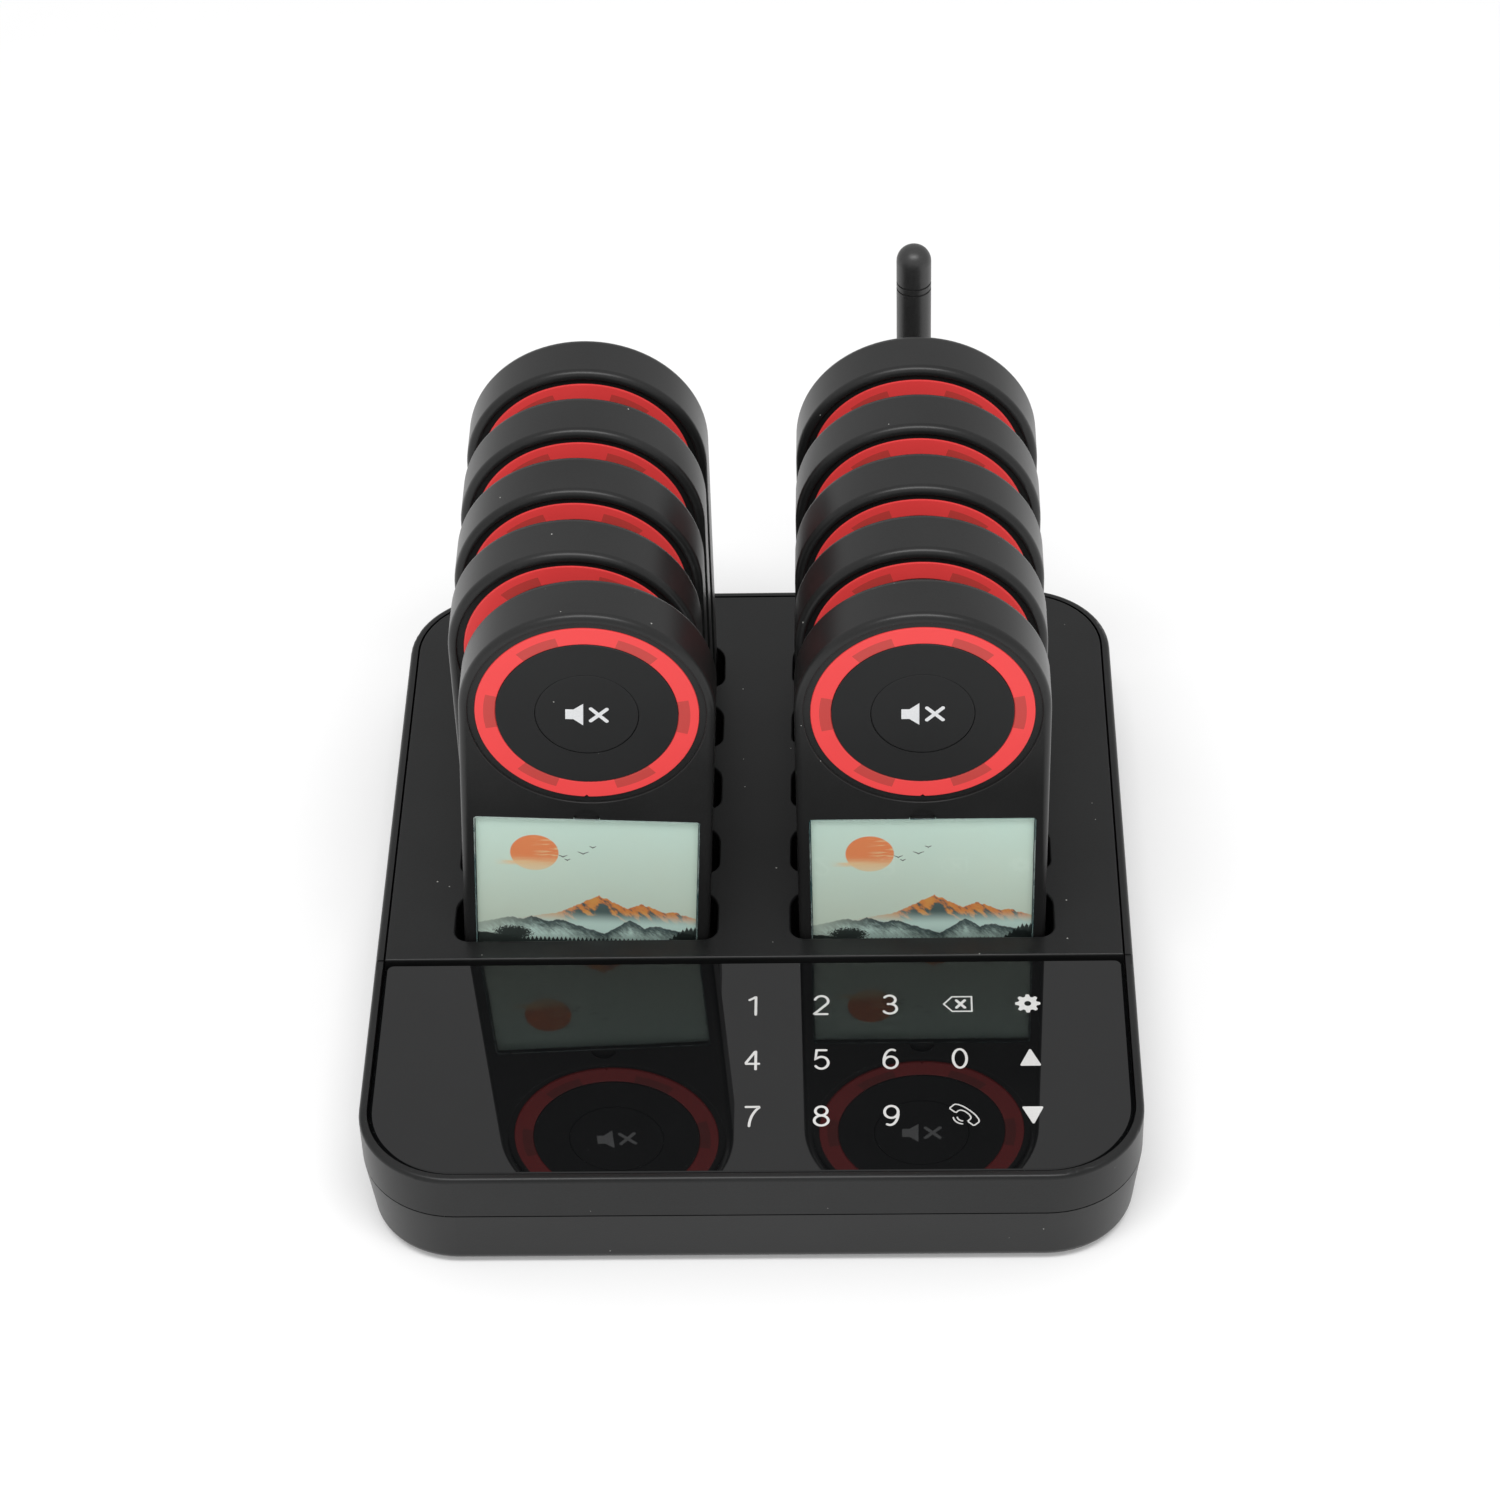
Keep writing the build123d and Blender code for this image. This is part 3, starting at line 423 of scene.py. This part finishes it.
nodeFinish = {
    "lower_shell": "casePlastic", "upper_frame": "casePlastic", "slot_deck": "casePlastic",
    "glass_carrier": "wellPlastic", "charging_well_left": "wellPlastic", "charging_well_right": "wellPlastic",
    "touch_board": "boardGreen", "contact_boards": "boardGreen", "main_board": "boardGreen",
    "spring_pins": "contactGold", "base_buzzer": "partPlastic", "power_jack": "partPlastic",
    "rubber_feet": "footRubber", "case_screws": "screwSteel", "antenna_hinge_pin": "screwSteel",
    "antenna_connector": "contactGold", "connector_nut": "contactGold",
    "antenna_elbow": "antennaRubber", "antenna_whip": "antennaRubber", "touch_glass": "keypadGlass",
}
pagerFinish = {
    "front_shell": "pagerPlastic", "rear_shell": "pagerPlastic", "face_disc": "discPlastic",
    "mute_button": "discPlastic", "circuit_board": "boardGreen", "battery": "batteryFoil",
    "vibration_motor": "screwSteel", "buzzer": "partPlastic", "charge_contacts": "contactGold",
    "screws": "screwSteel", "light_ring": "ringRed", "display_window": "coverClear",
    "picture_card": "cardInk", "case": "pagerPlastic",
}
for nodeName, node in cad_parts.items():
    finish = nodeFinish.get(nodeName) or pagerFinish[nodeName.split("_", 2)[2]]
    node.data.materials.clear()
    node.data.materials.append(finishes[finish])
print("finishes made:", len(finishes))


meshing = {"merge": 1e-7, "speck": 1e-8, "sharpAngle": 38}  # metres, metres, degrees


def addPiece(name, verts, faces, finish, body, faceFinish=None, flat=False):
    mesh = bpy.data.meshes.new(name)
    mesh.from_pydata(np.asarray(verts).reshape(-1, 3).tolist(), [], [list(f) for f in faces])
    for item in finish:
        mesh.materials.append(finishes[item])
    if faceFinish is not None:
        mesh.polygons.foreach_set("material_index", np.asarray(faceFinish, np.int32))
    work = bmesh.new()
    work.from_mesh(mesh)
    bmesh.ops.remove_doubles(work, verts=work.verts, dist=meshing["merge"])
    bmesh.ops.dissolve_degenerate(work, edges=work.edges, dist=meshing["speck"])
    bmesh.ops.recalc_face_normals(work, faces=work.faces)
    work.to_mesh(mesh)
    work.free()
    mesh.polygons.foreach_set("use_smooth", np.full(len(mesh.polygons), not flat))
    mesh.set_sharp_from_angle(angle=math.radians(meshing["sharpAngle"]))
    piece = bpy.data.objects.new(name, mesh)
    bpy.context.scene.collection.objects.link(piece)
    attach(piece, body)
    return piece


def gridFaces(rows, columns, closeRows=False, closeColumns=True):
    # quads between neighbouring rows and columns of a grid of points
    r = np.arange(rows if closeRows else rows - 1)[:, None]
    c = np.arange(columns if closeColumns else columns - 1)[None, :]
    nr, nc = (r + 1) % rows, (c + 1) % columns
    corners = (r * columns + c, r * columns + nc, nr * columns + nc, nr * columns + c)
    return np.stack(np.broadcast_arrays(*corners), -1).reshape(-1, 4)


def faceToWorld(x, z, out, number):
    # x to the right and z up from the head's middle, and out from the face, in mm, set in the pager's seat
    seat = np.array(pagerSeat(number))
    local = np.stack(np.broadcast_arrays(x, -np.asarray(out), z), -1) * mm
    return local @ seat[:3, :3].T + seat[:3, 3]


def roundedBox(halfWide, halfHigh, radius, inset, steps=9):
    # outline of a rounded box drawn in by inset: a quarter circle at each corner
    r = np.maximum(radius - inset, 0.03)
    a = np.linspace(0, math.pi / 2, steps)[None, :] + np.arange(4)[:, None] * math.pi / 2
    sx, sz = np.array([1, -1, -1, 1])[:, None], np.array([1, 1, -1, -1])[:, None]
    x = sx * (halfWide - inset - r) + r * np.cos(a)
    z = sz * (halfHigh - inset - r) + r * np.sin(a)
    return x.ravel(), z.ravel()


def strokeRing(path, width, low, high, closed=False):
    # a flat bar carried along a path: half the width to each side along the bisector of the path's
    # turn, widened at a corner by one over its cosine, and rounded off at free ends as a half circle
    path = np.asarray(path, float)
    ahead = np.roll(path, -1, 0) - path
    behind = np.roll(ahead, 1, 0)
    if not closed:
        ahead[-1], behind[0] = behind[-1], ahead[0]
    ahead /= np.linalg.norm(ahead, axis=1)[:, None]
    behind /= np.linalg.norm(behind, axis=1)[:, None]
    along = ahead + behind
    along /= np.linalg.norm(along, axis=1)[:, None]
    side = np.stack([-along[:, 1], along[:, 0]], -1)
    side /= np.clip((along * ahead).sum(1), 0.55, 1)[:, None]
    half = np.full(len(path), width / 2)
    if not closed:
        end = width / 2 * (1 - np.cos(np.linspace(0.12, math.pi / 2, 5)))
        reach = np.sqrt(np.clip((width / 2) ** 2 - (width / 2 - end) ** 2, 0, None))
        start, finish = path[0] + np.outer(end, ahead[0]), path[-1] - np.outer(end[::-1], behind[-1])
        path = np.concatenate([start, path[1:-1], finish])
        side = np.concatenate([np.repeat(side[:1], 5, 0), side[1:-1], np.repeat(side[-1:], 5, 0)])
        half = np.concatenate([reach, half[1:-1], reach[::-1]])
    left, right = path + side * half[:, None], path - side * half[:, None]
    flatRing = np.stack([left, left, right, right], 1)
    level = np.broadcast_to(np.array([low, high, high, low]), flatRing.shape[:2])
    points = np.concatenate([flatRing, level[..., None]], -1)
    faces = gridFaces(len(path), 4, closeRows=closed).tolist()
    if not closed:
        faces += [[3, 2, 1, 0], [4 * len(path) - 4 + k for k in range(4)]]
    return points.reshape(-1, 3), faces


def tablet(x, y, low, high):
    # a flat shape with a closed outline: its wall, and each side closed to its middle
    middle = (x.mean(), y.mean())
    rings = [np.full_like(x, middle[0]), x, x, np.full_like(x, middle[0])]
    rows = [np.full_like(y, middle[1]), y, y, np.full_like(y, middle[1])]
    level = np.array([low, low, high, high])[:, None] * np.ones_like(x)
    points = np.stack([np.stack(rings), np.stack(rows), level], -1).reshape(-1, 3)
    return points, gridFaces(4, len(x)).tolist()


def together(parts):
    # several point and face lists as one
    starts = np.cumsum([0] + [len(p) for p, _ in parts[:-1]])
    moved = [[i + int(start) for i in face] for (_, faces), start in zip(parts, starts) for face in faces]
    return np.concatenate([points for points, _ in parts]), moved


def arc(cx, cy, rx, ry, fromDeg, toDeg, steps=25):
    a = np.radians(np.linspace(fromDeg, toDeg, steps))
    return np.stack([cx + rx * np.cos(a), cy + ry * np.sin(a)], -1)


def dots(*points):
    return np.array(points, float)


copied = ["front_shell", "rear_shell", "face_disc", "circuit_board", "battery", "vibration_motor", "buzzer",
          "charge_contacts", "screws"]


def copyPart(part, number):
    # the first pager's part again, set in this pager's seat and merged; each corner keeps its normal
    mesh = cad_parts[f"pager_01_{part}"].data.copy()
    mesh.transform(pagerSeat(number) @ pagerSeat(1).inverted())
    normals = np.zeros(len(mesh.loops) * 3, np.float32)
    mesh.corner_normals.foreach_get("vector", normals)
    kept = mesh.attributes.new("keptNormal", "FLOAT_VECTOR", "CORNER")
    kept.data.foreach_set("vector", normals)
    work = bmesh.new()
    work.from_mesh(mesh)
    bmesh.ops.remove_doubles(work, verts=work.verts, dist=meshing["merge"])
    work.to_mesh(mesh)
    work.free()
    normals = np.zeros(len(mesh.loops) * 3, np.float32)
    mesh.attributes["keptNormal"].data.foreach_get("vector", normals)
    mesh.attributes.remove(mesh.attributes["keptNormal"])
    mesh.polygons.foreach_set("use_smooth", np.full(len(mesh.polygons), True))
    mesh.normals_split_custom_set(normals.reshape(-1, 3))
    piece = bpy.data.objects.new(f"pager_{number:02d}_{part}", mesh)
    bpy.context.scene.collection.objects.link(piece)
    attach(piece, f"pager_{number:02d}")
    return piece


ring = {"outer": 27.0, "inner": 22.1, "pocket": 24.9, "pocketSpan": 25.0, "out": -0.3, "depth": 3.0,
        "notch": 0.55, "round": 0.18, "columns": 288}


def lightRing(number):
    # profile of (radius, height) turned round the head's axis; the outer radius dips at the foot for
    # the notch, and the faces inside the six pockets take the darker finish
    a = np.arange(ring["columns"]) * 2 * math.pi / ring["columns"]
    o, i, r, top, back = ring["outer"], ring["inner"], ring["round"], ring["out"], ring["out"] - ring["depth"]
    profile = np.array([(i, back), (i, top - r), (i + 0.3 * r, top - 0.3 * r), (i + r, top), (i + 2 * r, top),
                        (ring["pocket"], top), (o - 2 * r, top), (o - r, top), (o - 0.3 * r, top - 0.3 * r),
                        (o, top - r), (o, back)])
    atFoot = np.abs(a - 1.5 * math.pi) < 0.6 * 2 * math.pi / ring["columns"]
    radius = profile[:, :1] - np.where(atFoot[None, :] & (profile[:, :1] > o - 3 * r), ring["notch"], 0)
    points = faceToWorld(radius * np.cos(a), radius * np.sin(a), profile[:, 1:] + 0 * a, number)
    faces = gridFaces(len(profile), len(a), closeRows=True)
    row, column = faces[:, 0] // len(a), faces[:, 0] % len(a)
    degree = (np.degrees(a[column]) + 180 / ring["columns"] + 30) % 60 - 30
    dark = (row >= 1) & (row <= 4) & (np.abs(degree) < ring["pocketSpan"] / 2)
    piece = addPiece(f"pager_{number:02d}_light_guide", points, faces, ["ringRed", "ringWindow"],
                     f"pager_{number:02d}", dark)
    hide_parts(f"pager_{number:02d}_light_ring")


cover = {"halfWide": 27.95, "halfHigh": 23.15, "belowHead": 34.35, "corner": 1.0, "edge": 0.2,
         "front": -0.02, "back": -1.04}
cover["middleZ"] = -cover["belowHead"] - cover["halfHigh"]
card = {"halfWide": picture["wide"] / 2, "halfHigh": picture["high"] / 2, "front": -1.09, "back": -1.3,
        "corner": 0.5}


def displayCover(number):
    # rounded box outline drawn in along a quarter-round edge, closed to the middle front and back
    e = cover["edge"]
    q = np.linspace(0, math.pi / 2, 5)
    inset = np.concatenate([[e * 2], e * (1 - np.sin(q)), [0.0, 0.0]])
    rounding = cover["front"] - e * (1 - np.cos(q))
    out = np.concatenate([[cover["front"]], rounding, [cover["back"] + 0.05, cover["back"]]])
    rings = [roundedBox(cover["halfWide"], cover["halfHigh"], cover["corner"], n) for n in inset]
    x, z = np.stack([r[0] for r in rings]), np.stack([r[1] for r in rings])
    x, z = np.vstack([0 * x[:1], x, 0 * x[:1]]), np.vstack([0 * z[:1], z, 0 * z[:1]])
    out = np.concatenate([out[:1], out, out[-1:]])
    points = faceToWorld(x, z + cover["middleZ"], out[:, None] + 0 * x, number)
    faces = gridFaces(len(out), x.shape[1])
    row = faces[:, 0] // x.shape[1]
    # the edge rows take coverEdge, the painted highlight and teal reflection
    rim = (row > 0) & (row < len(out) - 2)
    return addPiece(f"pager_{number:02d}_display_cover", points, faces, ["coverClear", "coverEdge"],
                    f"pager_{number:02d}", rim)


tab = {"halfWide": 3.1, "halfHigh": 0.42, "corner": 0.35, "low": 0.06, "front": -0.12, "back": -0.9}


def coverTab(number):
    # the cover's thumb tab, a small rounded block in the notch over the window
    x, z = roundedBox(tab["halfWide"], tab["halfHigh"], tab["corner"], 0.0, 5)
    flat, faces = tablet(x, z, tab["back"], tab["front"])
    points = faceToWorld(flat[:, 0], flat[:, 1] - cover["belowHead"] + tab["low"], flat[:, 2], number)
    return addPiece(f"pager_{number:02d}_cover_tab", points, faces, ["pagerPlastic"], f"pager_{number:02d}")


def pictureCard(number):
    # a thin rounded sheet whose u and v run from its lower left corner
    x, z = roundedBox(card["halfWide"], card["halfHigh"], card["corner"], 0.0)
    flat, faces = tablet(x, z, card["back"], card["front"])
    points = faceToWorld(flat[:, 0], flat[:, 1] + cover["middleZ"], flat[:, 2], number)
    piece = addPiece(f"pager_{number:02d}_printed_card", points, faces, ["cardInk"], f"pager_{number:02d}")
    mesh = piece.data
    layer = mesh.uv_layers.new(name="cardMap")
    corner = np.zeros(len(mesh.loops), np.int32)
    mesh.loops.foreach_get("vertex_index", corner)
    place = np.zeros(len(mesh.vertices) * 3, np.float32)
    mesh.vertices.foreach_get("co", place)
    back = np.array(pagerSeat(number).inverted())
    place = (place.reshape(-1, 3)[corner] @ back[:3, :3].T + back[:3, 3]) / mm
    uv = np.stack([place[:, 0] / picture["wide"] + 0.5,
                   (place[:, 2] - cover["middleZ"]) / picture["high"] + 0.5], -1)
    layer.data.foreach_set("uv", uv.astype(np.float32).ravel())
    return piece


icon = {"high": 0.02, "step": 0.006, "back": 1.55, "front": 3.45, "neck": 1.95, "wide": 4.3,
        "cross": 4.5, "gap": 1.5, "stroke": 0.95}


def muteIcon(number):
    # a speaker, which is an outline of six points, and a cross of two bars, on the button's face
    whole = icon["wide"] + icon["gap"] + icon["cross"]
    left, throat, right = -whole / 2, -whole / 2 + icon["neck"], -whole / 2 + icon["wide"]
    speaker = dots((left, icon["back"]), (left, -icon["back"]), (throat, -icon["back"]),
                   (right, -icon["front"]), (right, icon["front"]), (throat, icon["back"]))
    base = -stance["buttonStep"]
    parts = [tablet(speaker[:, 0], speaker[:, 1], base, base + icon["high"])]
    middle, arm = whole / 2 - icon["cross"] / 2, icon["cross"] / 2
    for slope in (1, -1):
        bar = dots((middle - arm, -slope * arm), (middle, 0), (middle + arm, slope * arm))
        parts.append(strokeRing(bar, icon["stroke"], base, base + icon["high"] + slope * icon["step"]))
    flat, faces = together(parts)
    points = faceToWorld(flat[:, 0], flat[:, 1], flat[:, 2], number)
    return addPiece(f"pager_{number:02d}_mute_mark", points, faces, ["iconWhite"],
                    f"mute_button_{number:02d}", flat=True)


for number in pagerNumbers:
    lightRing(number)
    glazing, sheet = displayCover(number), pictureCard(number)
    muteIcon(number)
    coverTab(number)
    if number == 1:
        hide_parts("pager_01_display_window")
        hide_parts("pager_01_picture_card")
    else:
        for part in copied:
            made = copyPart(part, number)
            if part == "front_shell":
                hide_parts(f"pager_{number:02d}_case")
print("pagers dressed")


keypad = {"columns": (0.3, 17.1, 34.0, 50.9, 68.1), "rows": (-57.8, -76.3, -95.0), "stroke": 0.66,
          "thick": 0.02, "step": 0.006, "figureHalf": 3.1, "boxStroke": 0.4, "crossStroke": 0.72,
          "callStroke": 0.36, "callReach": (1.5, 2.45), "arrowRound": 0.32}
gear = {"teeth": 8, "hole": 0.85, "middle": 2.72, "tooth": 0.4, "squareness": 1.7, "columns": 96}


def digitStrokes(digit):
    # centre lines of each figure in a box 4.2 wide and 7 high, as (path, closed)
    low = keypad["figureHalf"]
    return {
        "0": [(arc(0, 0, 1.65, low, 0, 345, 24), True)],
        "1": [(dots((0.55, -3.45), (0.55, 3.2)), False),
              (dots((0.5, 3.05), (-0.1, 2.5), (-1.3, 1.75)), False)],
        "2": [(np.concatenate([arc(0, 1.35, 1.65, 1.75, 172, -30, 20),
                               dots((-1.7, -2.95), (-1.5, -low), (1.75, -low))]), False)],
        "3": [(arc(-0.05, 1.62, 1.45, 1.48, 158, -90, 22), False),
              (arc(0, -1.45, 1.7, 1.65, 90, -160, 24), False),
              (dots((-0.75, 0.17), (0.1, 0.17)), False)],
        "4": [(dots((0.75, -3.45), (0.75, 3.1)), False), (dots((0.7, 3.0), (-1.8, -1.25)), False),
              (dots((-1.9, -1.3), (1.85, -1.3)), False)],
        "5": [(np.concatenate([dots((1.5, low), (-1.15, low), (-1.45, 0.15)),
                               arc(0, -1.1, 1.68, 1.98, 130, -155, 24)]), False)],
        "6": [(arc(0, -1.15, 1.65, 1.95, 0, 345, 24), True), (arc(0.35, -0.9, 2.0, 4.0, 62, 178, 20), False)],
        "7": [(np.concatenate([dots((-1.75, low), (1.7, low)),
                               arc(4.4, -3.6, 5.0, 7.6, 122, 179, 12)]), False)],
        "8": [(arc(0, 1.62, 1.42, 1.45, 0, 345, 24), True), (arc(0, -1.5, 1.7, 1.62, 0, 345, 24), True)],
        "9": [(arc(0, 1.15, 1.65, 1.95, 0, 345, 24), True), (arc(-0.35, 0.9, 2.0, 4.0, -118, -2, 20), False)],
    }[digit]


def digitMark(digit):
    # each stroke stands a hair above the one before, so that crossing strokes don't share a surface
    return together([strokeRing(path, keypad["stroke"], 0, keypad["thick"] + n * keypad["step"], closed)
                     for n, (path, closed) in enumerate(digitStrokes(digit))])


def backspaceMark():
    # a box drawn to a point on the left, with a cross in it
    frameLine = dots((3.35, 2.5), (-1.5, 2.5), (-3.55, 0), (-1.5, -2.5), (3.35, -2.5))
    parts = [strokeRing(frameLine, keypad["boxStroke"], 0, keypad["thick"], True)]
    for slope in (1, -1):
        bar = dots((-0.65, -slope * 1.5), (0.6, 0), (1.85, slope * 1.5))
        parts.append(strokeRing(bar, keypad["crossStroke"], 0, keypad["thick"] + slope * keypad["step"]))
    return together(parts)


def gearMark():
    # radius swings between root and tip with a flattened wave, round a plain hole
    a = np.linspace(0, 2 * math.pi, gear["columns"], endpoint=False)
    wave = np.clip(gear["squareness"] * np.sin(gear["teeth"] * a + math.pi / 2), -1, 1)
    outer, hole = gear["middle"] + gear["tooth"] * wave, np.full_like(a, gear["hole"])
    radius = np.stack([hole, hole, outer, outer])
    level = np.array([0, keypad["thick"], keypad["thick"], 0])[:, None] + 0 * a
    points = np.stack([radius * np.cos(a), radius * np.sin(a), level], -1).reshape(-1, 3)
    return points, gridFaces(4, len(a), closeRows=True).tolist()


def triangleMark(up):
    # three corners, each a small arc
    corners = dots((0, 2.6), (-2.2, -2.3), (2.2, -2.3))
    towards = np.arctan2(corners[:, 1], corners[:, 0])[:, None] + np.linspace(-1.0, 1.0, 5)[None, :]
    r = keypad["arrowRound"]
    x, y = corners[:, :1] + r * np.cos(towards), corners[:, 1:] + r * np.sin(towards)
    return tablet(x.ravel(), y.ravel() * (1 if up else -1), 0, keypad["thick"])


def handsetMark():
    # half the outline of a receiver, along u and across v, mirrored about its middle and turned down
    # to the right by an eighth of a turn; two arcs lie in its hollow
    half = dots((0, 1.97), (1.1, 1.94), (2.1, 1.82), (3.4, 1.42), (3.95, 1.02), (4.1, 0.7), (4.08, -0.7),
                (3.85, -0.95), (2.35, -0.95), (1.95, -0.75), (1.98, -0.1), (1.85, 0.35), (1.55, 0.65),
                (0.8, 0.92), (0, 0.98))
    outline = np.concatenate([half, (half[1:-1] * (-1, 1))[::-1]])
    u, v = outline[:, 0], outline[:, 1]
    outline = np.stack([u + v, v - u], -1) / math.sqrt(2) + (0.65, 0)
    parts = [strokeRing(outline, keypad["callStroke"], 0, keypad["thick"], True)]
    for reach in keypad["callReach"]:
        wave = arc(0.4, -0.5, reach, reach, 184, 268, 9)
        parts.append(strokeRing(wave, keypad["callStroke"], 0, keypad["thick"] + keypad["step"]))
    return together(parts)


keys = [[digitMark("1"), digitMark("2"), digitMark("3"), backspaceMark(), gearMark()],
        [digitMark("4"), digitMark("5"), digitMark("6"), digitMark("0"), triangleMark(True)],
        [digitMark("7"), digitMark("8"), digitMark("9"), handsetMark(), triangleMark(False)]]
keyNames = ["one two three delete settings", "four five six zero up", "seven eight nine call down"]
for keyRow, names, y in zip(keys, keyNames, keypad["rows"]):
    for (points, faces), name, x in zip(keyRow, names.split(), keypad["columns"]):
        placed = points * mm + np.array([x * mm, y * mm, glassTop])
        addPiece(f"key_mark_{name}", placed, faces, ["markPale"], "base", flat=True)
print("keypad marked")


def buildStage():
    # pale floor, pale surroundings and a softbox over the front edge
    size = light["floorHalf"]
    mesh = bpy.data.meshes.new("floor")
    corners = [(-size, -size, 0), (size, -size, 0), (size, size, 0), (-size, size, 0)]
    mesh.from_pydata(corners, [], [(0, 1, 2, 3)])
    floor = bpy.data.objects.new("floor", mesh)
    bpy.context.scene.collection.objects.link(floor)
    made, w, shader, where = newMaterial("floorPaper")
    texture = w.group(grainGroup, Where=where, Grain=60.0, Cloud=2.0)
    w.put(shader["Base Color"], w.mix(texture["Tone"], (0.76, 0.76, 0.76), (0.79, 0.79, 0.79)))
    shader["Roughness"].default_value = 0.9
    shader["Specular IOR Level"].default_value = 0.1
    shader["Emission Color"].default_value = (1.0, 1.0, 1.0, 1)
    shader["Emission Strength"].default_value = light["floorLift"]
    mesh.materials.append(made)

    world = bpy.data.worlds.new("paleRoom")
    bpy.context.scene.world = world
    world.use_nodes = True
    world.node_tree.nodes["Background"].inputs["Color"].default_value = (1.0, 1.0, 1.0, 1)
    world.node_tree.nodes["Background"].inputs["Strength"].default_value = light["sky"]
    for name, place, aim, wide, deep, power in light["boxes"]:
        lamp = bpy.data.lights.new(name, "AREA")
        lamp.shape, lamp.size, lamp.size_y, lamp.energy = "RECTANGLE", wide, deep, power
        holder = bpy.data.objects.new(name, lamp)
        bpy.context.scene.collection.objects.link(holder)
        toward = Vector(aim) - Vector(place)
        holder.matrix_world = Matrix.Translation(place) @ toward.to_track_quat("-Z", "Y").to_matrix().to_4x4()


light = {"sky": 0.76, "floorLift": 0.18, "floorHalf": 6.0,
         "boxes": [("overheadSoftbox", (0.0, -0.5, 1.3), (0.0, 0.0, 0.1), 1.1, 0.3, 11.0)]}
view = {"place": (0.0287, -0.7726, 0.7658), "lens": 99.11, "sensor": 36.0,
        "down": 42.21, "yaw": 2.17, "roll": -2.015}


def buildCamera():
    down, yaw, roll = (math.radians(view[k]) for k in ("down", "yaw", "roll"))
    turn = Matrix.Rotation(yaw, 3, "Z")
    forward = turn @ Vector((0, math.cos(down), -math.sin(down)))
    up = turn @ Vector((0, math.sin(down), math.cos(down)))
    right = turn @ Vector((1, 0, 0))
    tiltedRight = math.cos(roll) * right + math.sin(roll) * up
    tiltedUp = -math.sin(roll) * right + math.cos(roll) * up
    data = bpy.data.cameras.new("camera")
    data.lens, data.sensor_width, data.clip_start, data.clip_end = view["lens"], view["sensor"], 0.01, 50
    camera = bpy.data.objects.new("camera", data)
    bpy.context.scene.collection.objects.link(camera)
    axes = Matrix((tiltedRight, tiltedUp, -forward)).transposed().to_4x4()
    camera.matrix_world = Matrix.Translation(view["place"]) @ axes
    bpy.context.scene.camera = camera


buildStage()
buildCamera()
bpy.context.scene.view_settings.view_transform = "Standard"
print("stage lit")
